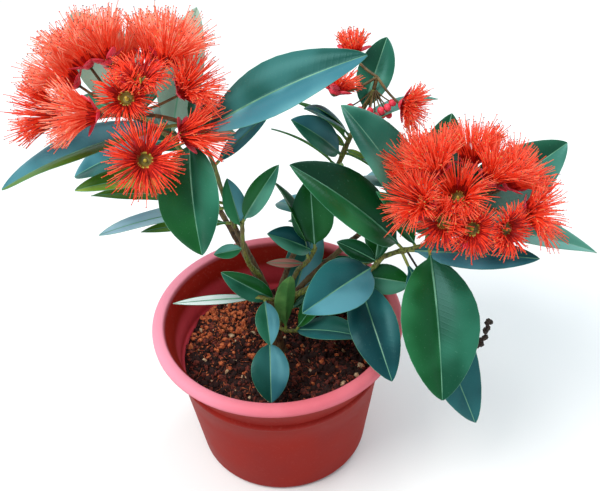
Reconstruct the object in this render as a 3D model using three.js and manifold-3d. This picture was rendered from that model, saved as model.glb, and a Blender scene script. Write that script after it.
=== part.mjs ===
// A young red-flowered penda shrub in its round plastic nursery pot.
// Sizes are in millimetres, with +Z up. The origin is the centre of the pot's flat underside,
// and -Y is the front. Headings turn from +X towards +Y, and rises are above the level, in degrees.
import * as THREE from 'three';
import { mergeVertices } from 'three/addons/utils/BufferGeometryUtils.js';
import Module from 'manifold-3d';

// Pot
const potHeight = 135;
const lipRadius = 100;
const lipWidth = 10;
const lipDepth = 9;
const beadRadius = 84.5;
const beadHeight = 95;
const footRadius = 70.5;
const footCorner = 6;
const wall = 2.6;
const floorThickness = 3.2;
const potSides = 40;

// Potting mix
const soilLevel = 91;
const soilPatch = 13;
const soilLump = 2.2;
const soilSettle = 2.5;
const soilSides = 32;
const soilRings = [64, 50, 36, 24];
const moundHeight = 8;
const moundReach = 38;
const moundAt = [-46, 38];

// Stems
const clearance = 0.3;
const trunkRadius = 4.8;
const forkRadius = 3.6;
const flareWidth = 3.4;
const flareReach = 0.16;
const flareLobes = 5;
const stemRadii = [2.2, 1.5];
const trunkPath = [[-1, 2, soilLevel - 3], [-2, 1, 112], [-4, -1, 134], [-2, -1, 153]];

// Each bough tapers from its first radius to its last, and starts inside what it grows from.
const boughs = {
  left_bough: {
    radii: [2.9, 2.2],
    path: [[-3, -1, 150], [-11, -2, 178], [-19, -4, 204], [-26, -7, 230]],
  },
  right_bough: {
    radii: [2.9, 2.2],
    path: [[-3, -1, 144], [24, -7, 166], [58, -11, 190], [92, -13, 206]],
  },
  back_bough: {
    radii: [2.7, 2.1],
    path: [[-3, -1, 140], [12, 14, 176], [32, 26, 216], [48, 33, 244]],
  },
  centre_bough: {
    radii: [2.1, 1.8],
    path: [[8, -3, 152], [12, -3, 168], [18, -2, 182]],
  },
  inner_left_bough: {
    radii: [2.1, 1.8],
    path: [[-11, -2, 178], [-17, -9, 194], [-19, -17, 210]],
  },
  rear_left_bough: {
    radii: [2.5, 2.0],
    path: [[-3, 0, 136], [-18, 18, 168], [-38, 38, 204], [-56, 52, 236]],
  },
  rear_right_bough: {
    radii: [2.5, 2.0],
    path: [[-3, 0, 128], [22, 18, 150], [56, 32, 176], [86, 40, 198]],
  },
};

// How finely limbs are drawn: the sides of their section and the steps along them.
const trunkFacets = [12, 8];
const boughFacets = [8, 6];
const stemFacets = [6, 5];
const stalkFacets = [6, 4];
const pedicelFacets = [3, 1];

// Leaves
const stalkShare = 0.09;
const stalkWidth = 2.8;
const tipWidth = 1.2;
const widthShare = 0.47;
const keelShare = 0.022;
const leastKeel = 1.6;
const foldAngle = 18;
const curlAngle = 26;
const leafStations = [0, stalkShare, 0.3, 0.55, 0.8, 1];

// How much the leaves that a rule sets may vary.
const riseSpread = 36;
const lengthSpread = 0.3;
const rollSpread = 40;
const firstShare = 0.25;

// Seeded numbers from 0 to 1, the same on every run.
function seededRandom(seed) {
  let state = seed;
  return () => {
    state = (Math.imul(state, 1664525) + 1013904223) >>> 0;
    return state / 4294967296;
  };
}

// Leaves set round a stem by rule: the golden section deals out their headings over a spread,
// and seeded numbers vary their rises, lengths and rolls.
function whorl({ count, middle, spread, rise, length, seed }) {
  const golden = (Math.sqrt(5) - 1) / 2;
  const random = seededRandom(seed);
  return Array.from({ length: count }, (_, index) => [
    firstShare + (1 - firstShare) * (index + 0.5) / count,
    middle + spread * (((index + 1) * golden) % 1 - 0.5),
    rise + riseSpread * (random() - 0.5),
    length * (1 + lengthSpread * (random() - 0.5)),
    rollSpread * (random() - 0.5),
  ]);
}

// Each leafy shoot grows on from its bough's tip, or from the trunk, along its own stem.
// A leaf is its share of the stem, heading, rise, length and roll, then its width share if
// it is broader or slimmer than most.
const shoots = {
  left_shoot: {
    from: 'left_bough',
    stem: [[-26, -7, 230], [-32, -13, 268], [-38, -17, 302], [-55, -16, 324]],
    leaves: [
      [0.86, 358, 27, 126, 33, 0.33],
      [0.68, 20, 28, 46, -25, 0.36],
      [0.90, 272, -48, 84, 38, 0.58],
      [0.99, 186, -17, 128, 0, 0.34],
      [0.85, 197, -16, 90, 60, 0.36],
      [0.60, 178, -18, 94, 26],
      [0.45, 183, -23, 97, 20, 0.4],
      [0.26, 190, -15, 62, 42, 0.36],
      [0.75, 98, 24, 52, 0, 0.36],
    ],
  },
  inner_left_shoot: {
    from: 'inner_left_bough',
    stem: [[-19, -17, 210], [-20, -21, 226], [-19, -22, 246]],
    leaves: [
      [0.80, 125, 68, 39, -24, 0.44],
      [0.98, 4, 59, 54, 57, 0.32],
      [0.30, 195, -1, 22, -50, 0.5],
    ],
  },
  centre_shoot: {
    from: 'centre_bough',
    stem: [[18, -2, 182], [27, -4, 194], [32, -5, 206]],
    leaves: [
      [0.50, 170, 72, 74, 5, 0.28],
      [0.95, 100, 78, 58, -10, 0.56],
      [0.85, 198, 38, 44, -36, 0.5],
    ],
  },
  right_inner_shoot: {
    from: 'right_bough',
    stem: [[58, -11, 190], [66, -20, 190], [82, -20, 208]],
    leaves: [
      [0.70, 226, 6, 78, -30, 0.52],
      [0.20, 286, -28, 84, 18, 0.44],
      [0.22, 350, -6, 40, 48, 0.6],
      [0.70, 77, 32, 48, 0],
      [0.80, 165, 25, 34, -30],
    ],
  },
  right_shoot: {
    from: 'right_bough',
    stem: [[92, -13, 206], [108, -14, 211], [122, -13, 218], [132, -12, 228]],
    leaves: [
      [0.50, 272, -40, 113, 3, 0.53],
      [0.06, 309, -54, 145, 27, 0.3],
      [0.85, 359, -12, 114, -5, 0.36],
      [0.10, 350, 1, 97, 44, 0.25],
      [0.50, 27, 21, 129, 36, 0.32],
      [0.45, 69, 50, 97, 0, 0.4],
      [0.55, 149, 52, 120, -5, 0.42],
      [0.30, 140, 40, 40, 0],
      [0.10, 188, 47, 119, -33, 0.38],
    ],
  },
  back_shoot: {
    from: 'back_bough',
    stem: [[48, 33, 244], [56, 42, 260], [66, 54, 276], [79, 63, 299]],
    leaves: [
      [0.70, 62, 41, 62, 21, 0.45],
      [0.52, 20, 8, 70, -15, 0.4],
      [0.22, 203, 47, 58, -45],
      [0.39, 200, 46, 62, 25, 0.3],
      [0.44, 216, 44, 58, -20, 0.34],
      [0.09, 200, 43, 68, 15, 0.14],
      [0.26, 338, -26, 34, -30],
    ],
  },
  rear_left_shoot: {
    from: 'rear_left_bough',
    stem: [[-56, 52, 236], [-68, 60, 254], [-84, 66, 270], [-98, 70, 282]],
    leaves: [
      [0.95, 146, 52, 88, 0],
      [0.50, 45, 74, 100, -20, 0.4],
      ...whorl({ count: 7, middle: 110, spread: 190, rise: -8, length: 82, seed: 11 }),
    ],
  },
  rear_right_shoot: {
    from: 'rear_right_bough',
    stem: [[86, 40, 198], [102, 46, 210], [120, 52, 222], [134, 56, 230]],
    leaves: whorl({ count: 8, middle: 45, spread: 190, rise: -15, length: 80, seed: 23 }),
  },
  rear_middle_shoot: {
    from: 'back_bough',
    stem: [[20, 22, 196], [30, 38, 200], [40, 52, 202]],
    leaves: whorl({ count: 5, middle: 80, spread: 130, rise: -25, length: 60, seed: 31 }),
  },
  low_left_shoot: {
    from: 'trunk',
    stem: [[-3, -1, 148], [1, -8, 157], [-5, -13, 163], [-15, -13, 167]],
    leaves: [
      [0.36, 183, 39, 52, -66, 0.38],
      [0.85, 186, 3, 67, -38, 0.12],
      [0.78, 277, -32, 37, 3, 0.52],
    ],
  },
  low_front_shoot: {
    from: 'trunk',
    stem: [[-3, 0, 120], [-4, -14, 127], [-6, -26, 134]],
    leaves: [[0.95, 270, -38, 50, 0, 0.62]],
  },
  low_right_shoot: {
    from: 'trunk',
    stem: [[-3, 0, 124], [6, -14, 130], [16, -21, 136]],
    leaves: [
      [0.80, 338, 12, 60, 0],
      [0.95, 20, 45, 48, 0],
      [0.60, 292, 77, 72, 0, 0.25],
    ],
  },
  low_rear_shoot: {
    from: 'trunk',
    stem: [[-2, 1, 114], [10, 18, 124], [22, 34, 134]],
    leaves: whorl({ count: 5, middle: 30, spread: 110, rise: 22, length: 66, seed: 47 }),
  },
};

// Flower heads: the stalk that carries each, and its flowers' headings, rises and reaches.
// The bases of a flower's stamens crowd into a low dome, and their tips stand far out of it.
const domeShare = 0.3;
const rootShare = 0.2;
const pedicelRadius = 1.3;
const stalkRadius = 1.5;
const budRadius = 2.9;
const stamenRadius = 1.4;
const stamenCount = 12;
const stamenSpread = 66;
const flowerLift = 0.45;
const heads = {
  left_flower_head: {
    from: 'left_shoot',
    stalk: [[-43, -18, 322], [-64, -14, 328], [-88, -10, 330]],
    stamenLength: 34,
    flowers: [
      [183, 2, 42], [243, 28, 36], [131, 66, 36], [174, 35, 38], [14, 47, 44], [0, 20, 40],
      [317, 58, 36], [290, -14, 44], [335, -10, 42], [100, 25, 36], [60, 35, 40],
      [286, 50, 26], [160, 55, 40],
    ],
    buds: [],
  },
  right_flower_head: {
    from: 'right_shoot',
    stalk: [[132, -12, 228], [137, -12, 240], [141, -12, 250]],
    stamenLength: 34,
    flowers: [
      [193, 48, 40], [208, 18, 42], [81, 58, 27], [4, 23, 29], [334, 0, 40], [264, 1, 33],
      [300, -1, 38], [231, 5, 35], [163, 25, 40],
      [355, 54, 21], [228, 36, 20],
    ],
    buds: [],
  },
  back_flower_head: {
    from: 'back_shoot',
    stalk: [[79, 63, 299], [80, 63, 304], [81, 62, 309]],
    stamenLength: 23,
    flowers: [[138, 32, 27], [190, -12, 32], [322, -33, 28]],
    buds: [
      [196, -32, 22], [219, -40, 19], [252, -45, 17], [291, -45, 17], [314, -38, 17], [330, -28, 17],
    ],
  },
};

const wasm = await Module();
wasm.setup();

const rad = THREE.MathUtils.degToRad;
const vec = ([x, y, z]) => new THREE.Vector3(x, y, z);

// The direction that a heading and a rise give.
function direction(heading, rise) {
  const level = Math.cos(rad(rise));
  return vec([level * Math.cos(rad(heading)), level * Math.sin(rad(heading)), Math.sin(rad(rise))]);
}

// A geometry becomes a solid to be joined or cut, and a solid becomes a geometry again.
function toSolid(geometry) {
  geometry.deleteAttribute('normal');
  geometry.deleteAttribute('uv');
  const merged = mergeVertices(geometry, 1e-4);
  return new wasm.Manifold(new wasm.Mesh({
    numProp: 3,
    vertProperties: new Float32Array(merged.attributes.position.array),
    triVerts: new Uint32Array(merged.index.array),
  }));
}

function toGeometry(solid) {
  const { vertProperties, triVerts } = solid.getMesh();
  const geometry = new THREE.BufferGeometry();
  geometry.setAttribute('position', new THREE.BufferAttribute(vertProperties, 3));
  geometry.setIndex(new THREE.BufferAttribute(triVerts, 1));
  geometry.computeVertexNormals();
  return geometry;
}

// The largest body of a solid, so a loose scrap is dropped and a sealed hollow is filled.
function mainBody(solid) {
  return solid.decompose().reduce((best, body) => (body.volume() > best.volume() ? body : best));
}

// A closed skin over a row of rings that have the same number of points each.
function loft(rings) {
  const count = rings[0].length;
  const index = [];
  for (let row = 0; row < rings.length - 1; row += 1) {
    for (let side = 0; side < count; side += 1) {
      const a = row * count + side;
      const b = row * count + (side + 1) % count;
      index.push(a, b, b + count, a, b + count, a + count);
    }
  }
  const last = (rings.length - 1) * count;
  for (let side = 1; side < count - 1; side += 1) {
    index.push(0, side + 1, side, last, last + side, last + side + 1);
  }
  const geometry = new THREE.BufferGeometry().setFromPoints(rings.flat());
  geometry.setIndex(index);
  return geometry;
}

function pathCurve(points) {
  return new THREE.CatmullRomCurve3(points.map(vec), false, 'catmullrom', 0.5);
}

// A limb is round, tapers along its path and may flare in lobes at its root.
function limb(points, [startRadius, endRadius], [sides, steps], flare = 0) {
  const curve = pathCurve(points);
  const frames = curve.computeFrenetFrames(steps, false);
  const rings = [];
  for (let step = 0; step <= steps; step += 1) {
    const along = step / steps;
    const ring = [];
    for (let side = 0; side < sides; side += 1) {
      const angle = (side / sides) * 2 * Math.PI;
      const lobe = flare * Math.exp(-along / flareReach) * (0.7 + 0.3 * Math.cos(flareLobes * angle));
      const radius = THREE.MathUtils.lerp(startRadius, endRadius, along) + lobe;
      ring.push(curve.getPointAt(along)
        .addScaledVector(frames.normals[step], radius * Math.cos(angle))
        .addScaledVector(frames.binormals[step], radius * Math.sin(angle)));
    }
    rings.push(ring);
  }
  return loft(rings);
}

// What is cut from a limb so that it stays clear of the tip that it grows on from.
function tipCutter(points, tipRadius) {
  const curve = pathCurve(points);
  const way = curve.getTangentAt(1);
  const depth = 8;
  const radius = tipRadius + 2;
  const cutter = new THREE.CylinderGeometry(radius, radius, depth, 12);
  cutter.translate(0, clearance - depth / 2, 0);
  cutter.applyQuaternion(new THREE.Quaternion().setFromUnitVectors(vec([0, 1, 0]), way));
  cutter.translate(...curve.getPointAt(1).toArray());
  return toSolid(cutter);
}

// Half of a blade's width at a share of its length: a slim stalk, then nearly an ellipse.
function halfWidth(along, length, breadth) {
  if (along <= stalkShare) return stalkWidth / 2;
  const blade = (along - stalkShare) / (1 - stalkShare);
  const swell = Math.sin(Math.PI * blade ** 0.92) ** 0.72;
  return Math.max(tipWidth / 2, breadth * length / 2 * swell);
}

// A leaf bows along its midrib, the two halves of its blade fold up a little, and the midrib
// stands out below them as a keel.
function leafGeometry(base, [, heading, rise, length, roll, breadth = widthShare]) {
  const along = direction(heading, rise);
  const up = direction(heading, rise + 90).applyAxisAngle(along, rad(roll));
  const across = along.clone().cross(up);
  const halfCurl = rad(curlAngle) / 2;
  const bow = length / (2 * Math.sin(halfCurl));
  const keel = Math.max(leastKeel, keelShare * length);
  const rings = leafStations.map((share) => {
    const turn = halfCurl * (2 * share - 1);
    const normal = up.clone().multiplyScalar(Math.cos(turn)).addScaledVector(along, Math.sin(turn));
    const midrib = base.clone()
      .addScaledVector(along, bow * (Math.sin(turn) + Math.sin(halfCurl)))
      .addScaledVector(up, bow * (Math.cos(turn) - Math.cos(halfCurl)));
    const half = halfWidth(share, length, breadth);
    const edge = (side) => midrib.clone()
      .addScaledVector(across, side * half * Math.cos(rad(foldAngle)))
      .addScaledVector(normal, half * Math.sin(rad(foldAngle)));
    const below = midrib.clone().addScaledVector(normal, keel * (share / 2 - 1));
    return [midrib, edge(1), below, edge(-1)];
  });
  return loft(rings);
}

// A stamen's way out of its flower: a golden-angle spiral from the middle to the widest lean.
function stamenWay(index, axisTurn) {
  const lean = rad(stamenSpread) * Math.sqrt((index + 0.5) / stamenCount);
  const angle = index * Math.PI * (3 - Math.sqrt(5));
  return vec([Math.sin(lean) * Math.cos(angle), Math.cos(lean), Math.sin(lean) * Math.sin(angle)])
    .applyQuaternion(axisTurn);
}

// A stamen starts inside its flower's dome and tapers to a point.
function stamenGeometry(centre, way, length) {
  const start = rootShare * length;
  const spike = new THREE.ConeGeometry(stamenRadius, length - start, 3, 1);
  spike.translate(0, (length + start) / 2, 0);
  spike.applyQuaternion(new THREE.Quaternion().setFromUnitVectors(vec([0, 1, 0]), way));
  return spike.translate(...centre.toArray());
}

function pedicelSolid(node, end) {
  const path = [node.toArray(), end.toArray()];
  return toSolid(limb(path, [pedicelRadius, pedicelRadius], pedicelFacets));
}

// A flower turns up to the light: its pedicel and dome, then its stamens.
function flowerSolids(node, [heading, rise, reach], stamenLength, isFree) {
  const out = direction(heading, rise);
  const axis = out.clone().add(vec([0, 0, flowerLift])).normalize();
  const turn = new THREE.Quaternion().setFromUnitVectors(vec([0, 1, 0]), axis);
  const centre = node.clone().addScaledVector(out, reach);
  const dome = new THREE.IcosahedronGeometry(domeShare * stamenLength, 0);
  dome.applyQuaternion(turn).translate(...centre.toArray());
  const stamens = Array.from({ length: stamenCount }, (_, index) => stamenWay(index, turn))
    .map((way) => toSolid(stamenGeometry(centre, way, stamenLength)));
  return [pedicelSolid(node, centre), toSolid(dome), ...stamens.filter(isFree)];
}

function budSolids(node, [heading, rise, reach]) {
  const centre = node.clone().addScaledVector(direction(heading, rise), reach);
  const bud = new THREE.IcosahedronGeometry(budRadius, 0).translate(...centre.toArray());
  return [pedicelSolid(node, centre), toSolid(bud)];
}

// The pot's section: a rolled lip, a hollow cove under it, a raised bead and a tapering body.
function potGeometry() {
  const inner = lipRadius - lipWidth;
  const innerBead = beadRadius - wall - 1.5;
  const section = new THREE.Shape();
  section.moveTo(0, 0);
  section.lineTo(footRadius - footCorner, 0);
  section.quadraticCurveTo(footRadius, 0, footRadius + 0.6, footCorner);
  section.lineTo(beadRadius - 2, beadHeight - 4);
  section.lineTo(beadRadius, beadHeight - 2);
  section.lineTo(beadRadius, beadHeight + 1);
  section.lineTo(beadRadius - 1.5, beadHeight + 3);
  section.quadraticCurveTo(beadRadius + 1, potHeight - 22, lipRadius - 5, potHeight - lipDepth - 1);
  section.lineTo(lipRadius - 1, potHeight - lipDepth);
  section.quadraticCurveTo(lipRadius + 0.4, potHeight - 1, lipRadius - 3, potHeight);
  section.lineTo(inner + 1, potHeight - 1);
  section.lineTo(inner, potHeight - 3);
  section.quadraticCurveTo(innerBead + 1, potHeight - 16, innerBead, beadHeight + 3);
  section.lineTo(innerBead - 1.5, beadHeight - 1);
  section.lineTo(footRadius - wall, footCorner + wall);
  section.lineTo(footRadius - wall - 4, floorThickness);
  section.lineTo(0, floorThickness);
  return new THREE.LatheGeometry(section.getPoints(2), potSides).rotateX(Math.PI / 2);
}

// The mix has a lumpy top with a mound behind on the left, and a flat patch under the trunk.
function soilHeight(x, y) {
  const patch = THREE.MathUtils.smoothstep(Math.hypot(x, y), soilPatch, 2 * soilPatch);
  const far = Math.hypot(x - moundAt[0], y - moundAt[1]) / moundReach;
  const lumps = Math.sin(x * 0.17 + 1) * Math.cos(y * 0.14) + 0.6 * Math.sin(x * 0.31 + y * 0.27);
  const mound = moundHeight * Math.exp(-far * far);
  return soilLevel + patch * (mound - soilSettle + soilLump * lumps);
}

function soilGeometry() {
  const low = footCorner + wall + 1;
  const high = soilLevel - 7;
  const wallAt = (height) => THREE.MathUtils.mapLinear(
    height,
    footCorner + wall,
    beadHeight - 1,
    footRadius - wall - 2 * clearance,
    beadRadius - wall - 3 - 2 * clearance,
  );
  const edge = [
    [0, floorThickness + clearance],
    [footRadius - wall - 5, floorThickness + clearance],
    [wallAt(low), low],
    [wallAt(high), high],
    [wallAt(high) - 3, soilLevel - 3],
  ];
  const top = [...soilRings, soilPatch, 0].map((radius) => [radius, soilLevel]);
  const profile = [...edge, ...top].map(([radius, height]) => new THREE.Vector2(radius, height));
  const geometry = new THREE.LatheGeometry(profile, soilSides).rotateX(Math.PI / 2);
  const place = geometry.attributes.position;
  for (let i = 0; i < place.count; i += 1) {
    if (place.getZ(i) > soilLevel - 1) place.setZ(i, soilHeight(place.getX(i), place.getY(i)));
  }
  return geometry;
}

// Everything below the flat cut at the trunk's foot.
function groundCutter() {
  const side = 60;
  return toSolid(new THREE.BoxGeometry(side, side, side)
    .translate(0, 0, soilLevel + clearance - side / 2));
}

const potPlastic = new THREE.MeshStandardMaterial({ color: 0xb4473f, roughness: 0.45 });
const pottingMix = new THREE.MeshStandardMaterial({ color: 0x5a2e1c, roughness: 1 });
const bark = new THREE.MeshStandardMaterial({ color: 0x5f5132, roughness: 0.8 });
const leafGreen = new THREE.MeshStandardMaterial({ color: 0x1f6a48, roughness: 0.35 });
const blossomRed = new THREE.MeshStandardMaterial({ color: 0xe23a24, roughness: 0.6 });

const plant = new THREE.Group();
const solids = {};

function keep(name, solid, material) {
  solids[name] = mainBody(solid);
  const mesh = new THREE.Mesh(toGeometry(solids[name]), material.clone());
  mesh.name = name;
  plant.add(mesh);
}

// Whether a piece stays clear of every node that is already there.
function clearOfAll(piece) {
  return Object.values(solids).every((other) => piece.minGap(other, 2 * clearance) > clearance);
}

keep('pot', toSolid(potGeometry()), potPlastic);
keep('soil', toSolid(soilGeometry()), pottingMix);

// Trunk and boughs: each bough is cut clear of the limbs before it.
const limbSkins = [];
function addLimb(name, path, radii, facets, flare) {
  const whole = toSolid(limb(path, radii, facets, flare));
  const skinRadii = radii.map((radius) => radius + 1.5 * clearance);
  const solid = limbSkins.reduce((rest, skin) => rest.subtract(skin), whole);
  limbSkins.push(toSolid(limb(path, skinRadii, facets, flare)));
  keep(name, solid.subtract(groundCutter()), bark);
}

addLimb('trunk', trunkPath, [trunkRadius, forkRadius], trunkFacets, flareWidth);
for (const [name, bough] of Object.entries(boughs)) {
  addLimb(name, bough.path, bough.radii, boughFacets);
}

// Shoots: each stem is cut clear of every limb, and a leaf that would touch anything is left off.
for (const [name, shoot] of Object.entries(shoots)) {
  const stem = toSolid(limb(shoot.stem, stemRadii, stemFacets));
  const ownTip = shoot.from === 'trunk' ? [] : [tipCutter(boughs[shoot.from].path, stemRadii[0])];
  const growth = [...limbSkins, ...ownTip].reduce((rest, skin) => rest.subtract(skin), stem);
  const curve = pathCurve(shoot.stem);
  const leaves = shoot.leaves
    .map((leaf) => toSolid(leafGeometry(curve.getPointAt(leaf[0]), leaf)))
    .filter(clearOfAll);
  keep(name, wasm.Manifold.union([growth, ...leaves]), leafGreen);
}

// Flower heads: each grows on from its shoot's tip.
for (const [name, head] of Object.entries(heads)) {
  const node = vec(head.stalk.at(-1));
  const stalk = toSolid(limb(head.stalk, [stalkRadius, stalkRadius], stalkFacets))
    .subtract(tipCutter(shoots[head.from].stem, stemRadii[1]));
  const flowers = head.flowers
    .flatMap((flower) => flowerSolids(node, flower, head.stamenLength, clearOfAll));
  const buds = head.buds.flatMap((bud) => budSolids(node, bud));
  keep(name, wasm.Manifold.union([stalk, ...flowers, ...buds]), blossomRed);
}

export default plant;
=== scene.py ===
# %% [markdown]
# # A young red-flowered penda in its nursery pot
# The plant stands in a round pink plastic pot of potting mix. A short trunk forks into slim
# boughs, each bough carries a leafy shoot, and three shoots end in heads of red stamens.
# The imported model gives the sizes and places. This script dresses it: each of its solids is
# replaced by a finer mesh of nearly the same reach.

import math

import bpy
import numpy as np
from mathutils import Matrix


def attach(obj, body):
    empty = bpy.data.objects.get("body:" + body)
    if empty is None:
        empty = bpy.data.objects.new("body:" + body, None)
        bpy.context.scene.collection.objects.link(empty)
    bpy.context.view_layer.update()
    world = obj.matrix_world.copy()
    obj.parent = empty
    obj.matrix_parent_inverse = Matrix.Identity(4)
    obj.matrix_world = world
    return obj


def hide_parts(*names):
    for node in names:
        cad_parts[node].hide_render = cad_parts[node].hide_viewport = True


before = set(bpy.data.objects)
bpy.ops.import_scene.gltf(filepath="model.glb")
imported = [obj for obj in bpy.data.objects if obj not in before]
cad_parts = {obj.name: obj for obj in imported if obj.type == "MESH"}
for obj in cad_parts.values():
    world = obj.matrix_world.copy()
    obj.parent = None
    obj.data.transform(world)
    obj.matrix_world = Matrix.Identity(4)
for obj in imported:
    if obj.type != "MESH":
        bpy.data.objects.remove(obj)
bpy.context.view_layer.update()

# %% [markdown]
# ## Measures shared by every step
# Blender works in metres, but a plant like this is easier to read in millimetres. Every size
# below is in millimetres, and a mesh is scaled once, when it is made. Headings turn from +X
# towards +Y and rises are above the level, both in degrees. Random numbers come from seeded
# generators, so that the same plant grows on each run.

# %% Units, directions and seeded numbers
MM = 0.001
GOLDEN_ANGLE = math.pi * (3 - math.sqrt(5))


def direction(heading, rise):
    """The unit vector that a heading and a rise give."""
    turn, lift = math.radians(heading), math.radians(rise)
    return np.array([math.cos(lift) * math.cos(turn), math.cos(lift) * math.sin(turn), math.sin(lift)])


def unit(vector):
    return vector / np.linalg.norm(vector)


def off_axis(way):
    """An upright or a level direction that is well away from the way."""
    return np.array([0, 0, 1.0]) if abs(way[2]) < 0.9 else np.array([1.0, 0, 0])


def smoothstep(value, low, high):
    """0 up to low, 1 from high on, smooth between."""
    share = np.clip((value - low) / (high - low), 0, 1)
    return share * share * (3 - 2 * share)


print("one millimetre is", MM, "m")

# %% [markdown]
# ## Smooth paths
# A stem is drawn as a few points, and a Catmull-Rom curve runs through them. Stepping along it
# by arc length keeps the rings of a stem evenly spaced, and lets a leaf name the share of the
# stem where it grows.

# %% A curve through points, sampled by arc length
CURVE_STEPS = 200


def curve_point(points, place):
    """The point at a place from 0 to 1, with the same share of the places for each span."""
    spans = len(points) - 1
    span = min(int(place * spans), spans - 1)
    t = place * spans - span
    p1, p2 = points[span], points[span + 1]
    p0 = points[span - 1] if span > 0 else 2 * p1 - p2
    p3 = points[span + 2] if span + 2 <= spans else 2 * p2 - p1
    pull = 0.5 * (p2 - p0), 0.5 * (p3 - p1)
    return (
        (2 * t**3 - 3 * t**2 + 1) * p1
        + (t**3 - 2 * t**2 + t) * pull[0]
        + (3 * t**2 - 2 * t**3) * p2
        + (t**3 - t**2) * pull[1]
    )


def pulled(start, pull, end, shares):
    """Points at shares of a curve from start to end that is drawn towards the pull."""
    shares = np.asarray(shares)[:, None]
    start, pull, end = np.array(start), np.array(pull), np.array(end)
    return (1 - shares) ** 2 * start + 2 * shares * (1 - shares) * pull + shares**2 * end


def run_along(points):
    """For each point, the length of the line up to it."""
    return np.concatenate([[0], np.cumsum(np.linalg.norm(np.diff(points, axis=0), axis=1))])


def along_path(path, shares):
    """Points at shares of the path's length."""
    points = np.array(path, float)
    dense = np.array([curve_point(points, i / CURVE_STEPS) for i in range(CURVE_STEPS + 1)])
    run = run_along(dense)
    places = np.asarray(shares, float) * run[-1]
    return np.stack([np.interp(places, run, dense[:, axis]) for axis in range(3)], axis=-1)


sample_path = [[0, 0, 0], [0, 10, 10], [0, 10, 30]]
print("half way along a sample path:", along_path(sample_path, 0.5).round(1))

# %% [markdown]
# ## Meshes from arrays
# Leaves, stamens and crumbs come in hundreds. Each is worked out as an array of points and
# faces, and all of one kind are joined into one mesh. That is far lighter than hundreds of
# objects.

# %% Parts and the piece that joins them
class Part:
    """Points in millimetres, faces, and for each face the number of its finish."""

    def __init__(self, points, faces, finishes, places=None):
        self.points = np.asarray(points, float)
        self.faces = faces
        self.finishes = finishes
        self.places = places


def new_object(name, data):
    """An object that holds this data, linked to the scene."""
    added = bpy.data.objects.new(name, data)
    bpy.context.collection.objects.link(added)
    return added


def joined_piece(name, parts, materials):
    """One object from many parts; places, where given, become its UV map."""
    points, faces, finishes, places = [], [], [], []
    start = 0
    for part in parts:
        points.append(part.points)
        faces.extend([[start + corner for corner in face] for face in part.faces])
        finishes.extend(part.finishes)
        places.append(part.places if part.places is not None else np.zeros((len(part.points), 2)))
        start += len(part.points)
    mesh = bpy.data.meshes.new(name)
    mesh.from_pydata((np.concatenate(points) * MM).tolist(), [], faces)
    for material in materials:
        mesh.materials.append(material)
    mesh.polygons.foreach_set("material_index", finishes)
    mesh.polygons.foreach_set("use_smooth", [True] * len(faces))
    corners = np.zeros(len(mesh.loops), np.int32)
    mesh.loops.foreach_get("vertex_index", corners)
    uv = mesh.uv_layers.new(name="place")
    uv.data.foreach_set("uv", np.concatenate(places)[corners].ravel())
    mesh.update()
    return new_object(name, mesh)


def triangles(piece):
    return sum(len(face.vertices) - 2 for face in piece.data.polygons)


print("parts are joined by joined_piece(name, parts, materials)")

# %% [markdown]
# ## Tubes
# Stems, stalks and stamens are tubes. The ring at each step is carried along from the one
# before without twisting, so that its corners line up, and each end is closed.

# %% A tube along points
def carried_frames(points):
    """For each point, two directions across the tube that turn as little as possible."""
    ways = np.gradient(points, axis=0)
    ways /= np.linalg.norm(ways, axis=1, keepdims=True)
    side = unit(np.cross(ways[0], off_axis(ways[0])))
    sides = []
    for way in ways:
        side = unit(side - way * side.dot(way))
        sides.append(side)
    sides = np.array(sides)
    return sides, np.cross(ways, sides)


def ring_faces(rings, count):
    """Quads between rings of count points each, and the two end caps."""
    faces = []
    for ring in range(rings - 1):
        for corner in range(count):
            a = ring * count + corner
            b = ring * count + (corner + 1) % count
            faces.append([a, b, b + count, a + count])
    last = (rings - 1) * count
    faces.append([last + corner for corner in range(count)])
    faces.append(list(range(count))[::-1])
    return faces


def ring_angles(sides):
    return np.arange(sides) * 2 * math.pi / sides


def band_finishes(bands, sides):
    """A finish for each face of ring_faces: the caps take that of the band beside them."""
    return [finish for finish in bands for _ in range(sides)] + [bands[-1], bands[0]]


def tube(points, radii, sides, finish=0):
    """A closed tube; finish is one number, or one for each step along it."""
    points = np.asarray(points, float)
    first, second = carried_frames(points)
    angles = ring_angles(sides)
    across = (
        first[:, None, :] * np.cos(angles)[None, :, None]
        + second[:, None, :] * np.sin(angles)[None, :, None]
    )
    rings = points[:, None, :] + across * np.asarray(radii, float).reshape(-1, 1, 1)
    bands = [finish] * (len(points) - 1) if isinstance(finish, int) else list(finish)
    return Part(rings.reshape(-1, 3), ring_faces(len(points), sides), band_finishes(bands, sides))


test_tube = tube([[0, 0, 0], [0, 0, 5], [0, 0, 9]], [1, 1, 1], 6)
print("a straight test tube has", len(test_tube.faces), "faces")

# %% [markdown]
# ## Shader maths as plain expressions
# A material's nodes do arithmetic on values that change over a surface. One small class wraps
# a node's output, so that height * 0.5 + noise adds the Math nodes by itself. Colours go
# through Mix nodes, because a Math node would turn a colour grey.

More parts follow.
